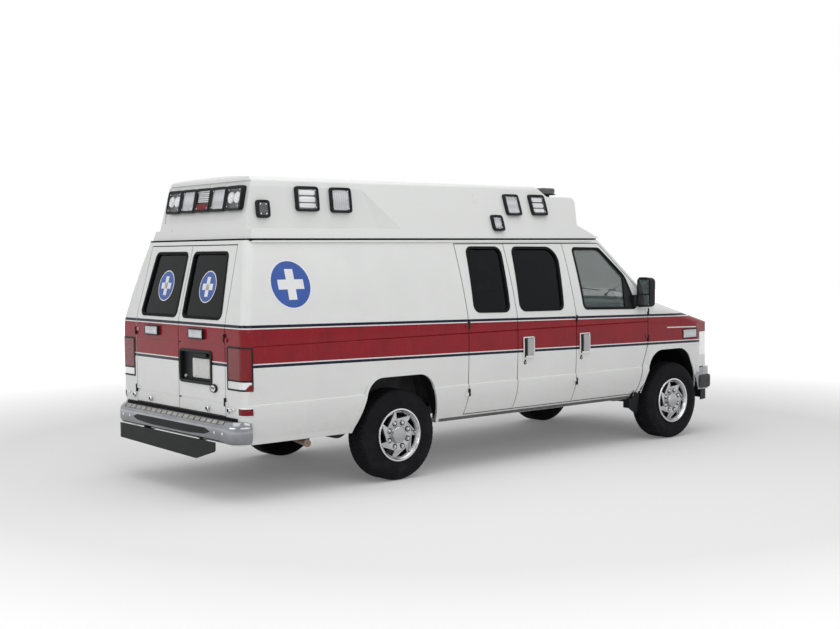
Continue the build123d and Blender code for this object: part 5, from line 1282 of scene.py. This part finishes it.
# ---- Front bumper: ends that reach back to the arch, pads, lower intakes ----
BUMPER_END = [(2.484, 0.684, 0.01), (2.655, 0.684, 0), (2.655, 0.457, 0), (2.575, 0.457, 0.01),
              (2.545, 0.56, 0.03), (2.5, 0.64, 0.02)]
FRONT_X, FRONT_SWEEP = 2.945, 0.114


def on_bumper_face(u, v, w):
    """Places left, up, out on the front bumper's face."""
    return Vector((FRONT_X - FRONT_SWEEP * abs(u) + w, u, v))


for sign, side in SIDES.items():

    def on_bumper_side(u, v, w):
        """Places along, up, out on the front bumper's end."""
        return Vector((u, sign * (0.992 - max(0.0, u - 2.647) * 0.1436 + w), v))

    plate(f"front_bumper_end_{side}", "bumper_chrome", BUMPER_END, on_bumper_side, -0.014, -0.0008,
          bevel=0.003, step=0.04)
    pad = Shape()
    pad.plate(rect(2.592, 2.79, 0.47, 0.604, 0.022), on_bumper_side, -0.001, 0.008, bevel=0.004, step=0.03)
    for k in range(3):
        low = 0.492 + 0.034 * k
        pad.plate(rect(2.604, 2.778, low, low + 0.02, 0.004), on_bumper_side, 0.007, 0.0105, bevel=0.002)
    pad.finish(f"front_bumper_pad_{side}", "pad_rubber")
intakes, bolts = Shape(), Shape()
for sign in SIDES:
    low, high = sorted((sign * 0.17, sign * 0.7))
    intakes.plate(rect(low, high, 0.498, 0.572, 0.018), on_bumper_face, -0.002, 0.0012, bevel=0.0008)
    for k in range(4):
        v = 0.508 + 0.0155 * k
        intakes.plate(rect(low + 0.014, high - 0.014, v, v + 0.008, 0.002), on_bumper_face, 0.001, 0.0045,
                      bevel=0.001, step=0.1)
    for u in (0.09, 0.79):
        bolts.dome(on_bumper_face(sign * u, 0.56, -0.001), (1, sign * FRONT_SWEEP, 0), 0.013, 0.006, 18)
intakes.finish("front_bumper_intakes", "black_plastic")
bolts.finish("front_bumper_bolts", "chrome")

# ---- Behind the grille, front lamps ----
(Shape().box((2.65, -0.45, 0.7), (2.69, 0.45, 1.075), 0.008)
 .ribs(rect(-0.44, 0.44, 0.715, 1.06), lambda u, v, w: Vector((2.69 + w, u, v)), -0.001, 0.006, 44, True)
 .box((2.64, -0.47, 1.06), (2.696, 0.47, 1.085), 0.008).finish("radiator", "dark_steel"))
face_on = cast_on(front_tree, 0, 1)
LAMP_LOW, LAMP_TOP, LAMP_Z = 0.836, 1.026, 0.931
for sign, side in SIDES.items():
    skin = cast_on(front_tree, 1, sign)
    line = [(2.06, 1.114, 0.003), (2.518, 1.101, 0.003), (2.518, 1.112, 0.003), (2.06, 1.124, 0.003)]
    plate(f"fender_line_{side}", "sign_white", line, skin, -0.0005, 0.0012, step=0.02)
    marker = rect(2.306, 2.536, 0.992, 1.092, 0.014)
    plate(f"front_marker_bezel_{side}", "black_plastic", marker, skin, -0.002, 0.0055,
          hole=inset(marker, 0.01), bevel=0.002, step=0.02)
    plate(f"front_marker_clear_{side}", "pearl_lens", rect(2.315, 2.3745, 1.001, 1.083, 0.006), skin,
          -0.002, 0.004, bevel=0.002, step=0.02)
    (Shape().plate(rect(2.374, 2.527, 1.001, 1.083, 0.004), skin, -0.002, 0.0015, step=0.02)
     .ribs(rect(2.378, 2.523, 1.004, 1.08), skin, 0.001, 0.0042, 9, True)
     .finish(f"front_marker_ribbed_{side}", "grey_lens"))
    for kind, a, b in (("main", 0.508, 0.792), ("turn", 0.806, 0.925)):
        low, high = sorted((sign * a, sign * b))
        box = rect(low, high, LAMP_LOW, LAMP_TOP, 0.022)
        rim = Shape().plate(box, face_on, -0.002, 0.005, hole=inset(box, 0.008), bevel=0.002, step=0.02)
        if kind == "main":
            middle = aimed(face_on((low + high) / 2, LAMP_Z, 0), FORWARD)
            ring = [(0.082, -0.004), (0.084, 0.005), (0.079, 0.0065), (0.074, 0.004), (0.074, -0.004)]
            rim.spun(ring, middle, 40, True)
        rim.finish(f"headlamp_{kind}_rim_{side}", "chrome")
        # The headlamp's dish is darkened: painted shade inside the lamp.
        plate(f"headlamp_{kind}_dish_{side}", "dish_painted_shade", inset(box, 0.007), face_on, -0.003, 0.0006,
              step=0.02)
        if kind == "turn":
            (Shape().ribs(inset(box, 0.01), face_on, -0.001, 0.0035, 8, True)
             .finish(f"headlamp_{kind}_lens_{side}", "amber_lens"))
            continue
        bulge = [(0.073, -0.003), (0.07, 0.004), (0.05, 0.008), (0.025, 0.01), (0, 0.0105)]
        lens = Shape().spun(bulge, middle, 36)
        for start in (low + 0.012, high - 0.052):
            lens.ribs(rect(start, start + 0.04, 0.85, 1.012), face_on, -0.001, 0.003, 3, True)
        lens.finish(f"headlamp_{kind}_lens_{side}", "white_lens")

# ---- Under the hood and under the floor ----
cleaner = Shape().box((2.24, -0.552, 0.93), (2.5, -0.33, 1.09), 0.02)
for x in spread(5, 2.262, 2.442):
    cleaner.box((x, -0.54, 1.088), (x + 0.022, -0.342, 1.096), 0.003)
cleaner.tube([(2.37, -0.335, 1.02), (2.37, -0.23, 1.055), (2.33, -0.12, 1.085), (2.28, -0.04, 1.07),
              (2.25, 0, 1.03)], 0.045, 16)
cleaner.finish("air_cleaner", "black_plastic")
battery = Shape().boxes(
    ((2.27, 0.34, 0.9), (2.5, 0.552, 0.925), 0.006), ((2.28, 0.362, 0.925), (2.49, 0.538, 1.075), 0.01),
    ((2.276, 0.358, 1.066), (2.494, 0.542, 1.086), 0.006))
for y in (0.4, 0.5):
    battery.spun([(0.012, 0), (0.011, 0.014), (0, 0.015)], Matrix.Translation((2.32, y, 1.085)), 14)
battery.finish("battery", "grey_plastic")
covers = Shape()
for sign in SIDES:
    covers.box((1.96, sign * 0.165 - 0.07, 1.03), (2.56, sign * 0.165 + 0.07, 1.075), 0.02)
    for x in spread(4, 2.02, 2.455):
        covers.tube([(x, sign * 0.1, 1.068), (x, sign * 0.05, 1.092), (x, 0, 1.096)], 0.018, 10)
covers.box((1.98, -0.045, 1.045), (2.54, 0.045, 1.1), 0.018).finish("engine_covers", "cast_iron")
SHAFT = [(1.846, 0, 0.556), (1.78, 0, 0.556), (0.45, 0, 0.556), (-0.655, 0, 0.556), (-1.14, 0, 0.415)]
shaft = Shape().tube(SHAFT, 0.038, 16)
for spot in (SHAFT[1], SHAFT[3], (-1.11, 0, 0.424)):
    shaft.spun([(0, -0.035), (0.043, -0.03), (0.0435, 0.03), (0, 0.035)], aimed(spot, FORWARD), 14)
shaft.finish("drive_shaft", "dark_steel")
# Shock absorbers and coils: foot and top of each absorber on the left
absorbers, coils = Shape(), Shape()
for sign in SIDES:
    for foot, top in (((-1.42, 0.61, 0.33), (-1.56, 0.455, 0.59)), ((2.08, 0.6, 0.36), (2.11, 0.48, 0.604))):
        foot, top = (Vector((x, sign * y, z)) for x, y, z in (foot, top))
        middle = foot.lerp(top, 0.52)
        absorbers.tube([foot, middle], 0.027, 14)
        absorbers.tube([middle - (top - foot).normalized() * 0.01, top], 0.033, 14)
        absorbers.tube([foot - FORWARD * 0.03, foot + FORWARD * 0.03], 0.02)
absorbers.finish("shock_absorbers", "bare_steel", slot="chassis_black")
COIL_TURNS, COIL_RADIUS, COIL_Y, COIL_LOW, COIL_HIGH = 4.5, 0.058, 0.513, 0.352, 0.59
for sign in SIDES:
    coil = []
    for t in spread(91, 0, 1):
        turn = 2 * pi * COIL_TURNS * t
        coil.append((FRONT_AXLE + COIL_RADIUS * cos(turn), sign * COIL_Y + COIL_RADIUS * sin(turn),
                     COIL_LOW + (COIL_HIGH - COIL_LOW) * t))
    coils.tube(coil, 0.0085, 8)
coils.finish("coil_springs", "chassis_trim")

# ---- Inside: door cards, cot rails, ceiling lamps, dash ----
for name, _, card, place in DOORS:
    u_low, u_high = span(card, 0)
    pocket = rect(u_low + 0.05, u_high - 0.05, card[0][1] + 0.035, card[0][1] + 0.16, 0.02)
    (Shape().plate(card, place, -0.058, -0.0495, bevel=0.002, step=0.08)
     .plate(pocket, place, -0.0635, -0.057, hole=inset(pocket, 0.012), bevel=0.002, step=0.08)
     .finish(f"{name}_card", "cab_trim", f"{name}_body"))
rails = Shape()
for y in (-0.17, 0.17):
    rails.boxes(((-2.7, y - 0.02, 0.6395), (-1.12, y + 0.02, 0.648), 0.002),
                ((-2.69, y - 0.008, 0.647), (-1.13, y + 0.008, 0.653), 0.002))
rails.box((-1.13, -0.06, 0.6395), (-1.08, 0.06, 0.69), 0.006)
rails.finish("cot_rails", "bare_steel", slot="exhaust_steel")
cap_tree = tree_of("roof_cap")


def on_ceiling(u, v, w):
    """Places forward, left, down on the inside of the roof."""
    return cap_tree.ray_cast(Vector((u, v, 2.2)), Vector((0, 0, 1)))[0] - Vector((0, 0, w))


rims, lenses = Shape(), Shape()
for x in (-2.1, -1.35, -0.6, 0.15):
    for y in (-0.3, 0.3):
        lamp = rect(x - 0.15, x + 0.15, y - 0.075, y + 0.075, 0.03)
        rims.plate(lamp, on_ceiling, -0.001, 0.01, hole=inset(lamp, 0.012), bevel=0.003, step=0.08)
        lenses.plate(inset(lamp, 0.011), on_ceiling, -0.001, 0.014, bevel=0.005, step=0.06)
rims.finish("ceiling_lamp_rims", "bare_steel")
lenses.finish("ceiling_lamps", "pearl_lens")
on_dash = cast_on(tree_of("dashboard"), 0, -1)
dash = Shape()
for u in (-0.76, -0.5, -0.16, 0.12):
    dash.ribs(rect(u - 0.055, u + 0.055, 1.235, 1.285), on_dash, -0.001, 0.004, 5)
dash.plate(rect(-0.11, 0.11, 1.12, 1.21, 0.008), on_dash, -0.001, 0.006)
for y in spread(6, -0.09, 0.09):
    dash.dome(on_dash(y, 1.14, 0.006), BACKWARD, 0.009, 0.006, 12)
dash.plate(rect(-0.72, -0.3, 1.02, 1.18, 0.012), on_dash, -0.001, 0.004)
dash.finish("dash_fittings", "black_plastic")

# ---- Soft pieces ----
START_SIZE, SEAM_SPREAD, SEAM_WIDTH, SEAM_DEPTH = 0.9, 1.2, 0.016, 0.007


def bake(piece):
    """Bakes a piece's modifiers into its mesh."""
    bpy.context.view_layer.update()
    made = bpy.data.meshes.new_from_object(piece.evaluated_get(bpy.context.evaluated_depsgraph_get()))
    piece.modifiers.clear()
    old, piece.data = piece.data, made
    bpy.data.meshes.remove(old)


def cushion(name, low, high, stands_for, turn=Matrix(), cap=0.024, seams=0):
    """A padded cushion that fills a box: swollen by cloth pressure, held to a cap, then seamed across."""
    size = [b - a for a, b in zip(low, high)]
    start = bmesh.new()
    bmesh.ops.create_cube(start, size=1)
    for vert in start.verts:
        vert.co = Vector([c * s * START_SIZE for c, s in zip(vert.co, size)])
    bmesh.ops.bevel(start, geom=start.edges[:], offset=min(size) * 0.28, segments=4, profile=0.5,
                    affect="EDGES")
    mesh = bpy.data.meshes.new(name)
    start.to_mesh(mesh)
    start.free()
    piece = linked(name, mesh)
    remesh = piece.modifiers.new("remesh", "REMESH")
    remesh.mode = "VOXEL"
    remesh.voxel_size = 0.013
    bake(piece)
    rest = [v.co.copy() for v in piece.data.vertices]
    settings = piece.modifiers.new("cloth", "CLOTH").settings
    settings.use_pressure = True
    settings.uniform_pressure_force = 4.0
    settings.effector_weights.gravity = 0
    settings.quality = 5
    scene = bpy.context.scene
    scene.frame_start, scene.frame_end = 1, 20
    for number in range(1, 21):
        scene.frame_set(number)
    bake(piece)
    scene.frame_set(1)
    half = [s / 2 for s in size]
    thin = size.index(min(size))
    for vert, home in zip(piece.data.vertices, rest):
        shift = vert.co - home
        if shift.length > cap:
            vert.co = home + shift.normalized() * cap
        for k in range(3):
            vert.co[k] = min(max(vert.co[k], -half[k]), half[k])
        for s in range(seams):
            near = abs(vert.co.y / half[1] - SEAM_SPREAD * ((s + 0.5) / seams - 0.5)) * half[1]
            if near < SEAM_WIDTH and abs(vert.co[thin]) > half[thin] / 2:
                groove = SEAM_DEPTH * (1 - near / SEAM_WIDTH) ** 2
                vert.co[thin] -= groove if vert.co[thin] > 0 else -groove
    smooth = piece.modifiers.new("smooth", "SUBSURF")
    smooth.levels = smooth.render_levels = 1
    bake(piece)
    piece.data.transform(Matrix.Translation([(a + b) / 2 for a, b in zip(low, high)]) @ turn)
    piece.data.polygons.foreach_set("use_smooth", [True] * len(piece.data.polygons))
    tie(piece, "seat_vinyl", "body", None, stands_for)


LEAN = Matrix.Rotation(radians(-12), 4, "Y")
for sign, side in SIDES.items():
    y = sign * 0.47
    cushion(f"seat_cushion_{side}", (0.925, y - 0.25, 0.88), (1.42, y + 0.25, 1.02), "cab_seats", seams=2)
    cushion(f"seat_back_{side}", (0.875, y - 0.24, 0.965), (0.985, y + 0.24, 1.56), "cab_seats", LEAN,
            seams=2)
    cushion(f"seat_head_{side}", (0.815, y - 0.13, 1.56), (0.9, y + 0.13, 1.722), "cab_seats", LEAN)
    base = Shape().boxes(
        ((0.94, y - 0.2, 0.64), (1.37, y + 0.2, 0.845), 0.012),
        ((0.95, y - 0.225, 0.845), (1.385, y - 0.19, 0.878), 0.006),
        ((0.95, y + 0.19, 0.845), (1.385, y + 0.225, 0.878), 0.006))
    for k in (-0.055, 0.055):
        base.tube([(0.885, y + k, 1.535), (0.868, y + k, 1.6)], 0.006, 10)
    base.finish(f"seat_base_{side}", "cab_trim", stands_for="cab_seats")
    points = [(1.05, sign * 0.76, 0.9), (0.93, sign * 0.7, 1.02), (0.86, sign * 0.735, 1.5),
              (0.8, sign * 0.8, 1.72)]
    belt = Shape()
    for run in zip(points, points[1:]):
        belt.tube(run, 0.01, 6)
    belt.finish(f"seat_belt_{side}", "black_rubber", slot="seat_cloth")

# Bench: boxed base with lids, cushion and back pads
BENCH_BACK, BENCH_FRONT, BENCH_FACE = -2.59, -0.656, -0.502
bench = Shape().boxes(
    ((BENCH_BACK, -0.885, 0.905), (BENCH_FRONT, BENCH_FACE, 0.925)),
    ((BENCH_BACK, -0.524, 0.642), (BENCH_FRONT, BENCH_FACE, 0.905)),
    *(((x, -0.688, 0.642), (x + 0.022, -0.524, 0.905), 0.003)
      for x in (BENCH_BACK, -1.9, -1.02, BENCH_FRONT - 0.022)))
for k in range(3):
    low = BENCH_BACK + 0.03 + k * 0.635
    bench.boxes(((low, -0.5035, 0.665), (low + 0.605, -0.4985, 0.88), 0.003),
                ((low + 0.255, -0.4995, 0.845), (low + 0.35, -0.4965, 0.862), 0.002))
bench.box((BENCH_BACK, -0.88, 0.925), (BENCH_FRONT, -0.862, 1.395))
bench.finish("bench_base", "cabinet_board", stands_for="bench")
for k in range(3):
    low = BENCH_BACK + 0.004 + k * 0.644
    cushion(f"bench_cushion_{k}", (low, -0.8, 0.925), (low + 0.636, -0.504, 0.992), "bench", cap=0.016)
    cushion(f"bench_back_{k}", (low, -0.862, 1.0), (low + 0.636, -0.802, 1.39), "bench", cap=0.016)

# Cabinet: doors on the base, sliding panes above
doors, pulls, panes = Shape(), Shape(), Shape()
for k in range(4):
    low = -2.53 + 0.78 * k
    for top, bottom in ((1.045, 0.905), (0.89, 0.665)):
        doors.box((low, 0.5545, bottom), (low + 0.76, 0.5605, top), 0.003)
    for z in (1.0, 0.845):
        pull = ((0.33, 0.554), (0.33, 0.542), (0.43, 0.542), (0.43, 0.554))
        pulls.tube([(low + x, y, z) for x, y in pull], 0.004, 8)
for x in (-2.528, -0.974):
    for z_low, z_high in ((1.084, 1.478), (1.504, 1.876)):
        panes.boxes(((x + 0.004, 0.564, z_low), (x + 0.8, 0.567, z_high), 0.001),
                    ((x + 0.73, 0.57, z_low), (x + 1.526, 0.573, z_high), 0.001))
doors.finish("cabinet_doors", "cabinet_board")
pulls.finish("cabinet_pulls", "bare_steel", slot="exhaust_steel")
panes.finish("cabinet_panes", "shield_glass")

# ---- Stage ----
FLOOR_HALF = 40


def seen_directly(tree):
    """One for rays from the camera, from gloss and through glass, and nought for others."""
    paths = tree.add("LightPath")
    direct = tree.math("MAXIMUM", paths["Is Camera Ray"], paths["Is Glossy Ray"])
    return tree.math("MAXIMUM", direct, paths["Is Transmission Ray"])


floor_mesh = bpy.data.meshes.new("floor")
corners = [(x * FLOOR_HALF, y * FLOOR_HALF, 0) for x, y in ((-1, -1), (1, -1), (1, 1), (-1, 1))]
floor_mesh.from_pydata(corners, [], [(0, 1, 2, 3)])
floor = linked("floor", floor_mesh)
tree, shader = new_material("stage_floor")
tree.feed(shader, {"Base Color": (0.72, 0.72, 0.72, 1), "Roughness": 0.8})
reach = tree.add("VectorMath", {0: tree.coords()}, operation="LENGTH")["Value"]
glow = tree.math("MULTIPLY", tree.remap(reach, 4.5, 12, 0.12, 1), seen_directly(tree))
emission = tree.add("Emission", {"Strength": glow})[0]
summed = tree.add("AddShader", {0: shader.outputs[0], 1: emission})[0]
tree.feed(tree.named["Material Output"], {"Surface": summed})
floor_mesh.materials.append(LOOKS["stage_floor"])

world = bpy.data.worlds.new("studio")
bpy.context.scene.world = world
world.use_nodes = True
sky = Nodes(world.node_tree)
level = sky.math("ADD", sky.math("MULTIPLY", seen_directly(sky), 0.57), 0.43)
sky.feed(sky.named["Background"], {"Color": (1, 1, 1, 1), "Strength": level})

for name, spot, target, size, power in (
    ("ceiling", (-1, -1, 7.5), (0, 0, 0), (10, 8), 310),
    ("near_side", (-3, -9, 4.5), (0, 0, 1.2), (9, 3), 160),
    ("rear_side", (-10, -1, 4.0), (-2, 0, 1.2), (5, 3), 120),
):
    lamp = bpy.data.lights.new(name, "AREA")
    lamp.shape = "RECTANGLE"
    lamp.size, lamp.size_y = size
    lamp.energy = power
    holder = linked(name, lamp)
    holder.location = spot
    holder.rotation_euler = (Vector(target) - Vector(spot)).to_track_quat("-Z", "Y").to_euler()

# The camera, solved from the photo
CAMERA_AT, LENS = Vector((-7.726, -8.951, 1.885)), 53.14
YAW, PITCH, ROLL = radians(50.354), radians(2.84), radians(-0.556)
camera = linked("camera", bpy.data.cameras.new("camera"))
camera.data.sensor_width = 36
camera.data.lens = LENS
toward = Vector((cos(PITCH) * cos(YAW), cos(PITCH) * sin(YAW), -sin(PITCH)))
right = Vector((sin(YAW), -cos(YAW), 0))
above = right.cross(toward)
across, above = right * cos(ROLL) + above * sin(ROLL), -right * sin(ROLL) + above * cos(ROLL)
camera.matrix_world = Matrix.Translation(CAMERA_AT) @ Matrix((across, above, -toward)).transposed().to_4x4()
bpy.context.scene.camera = camera
bpy.context.scene.view_settings.view_transform = "Standard"
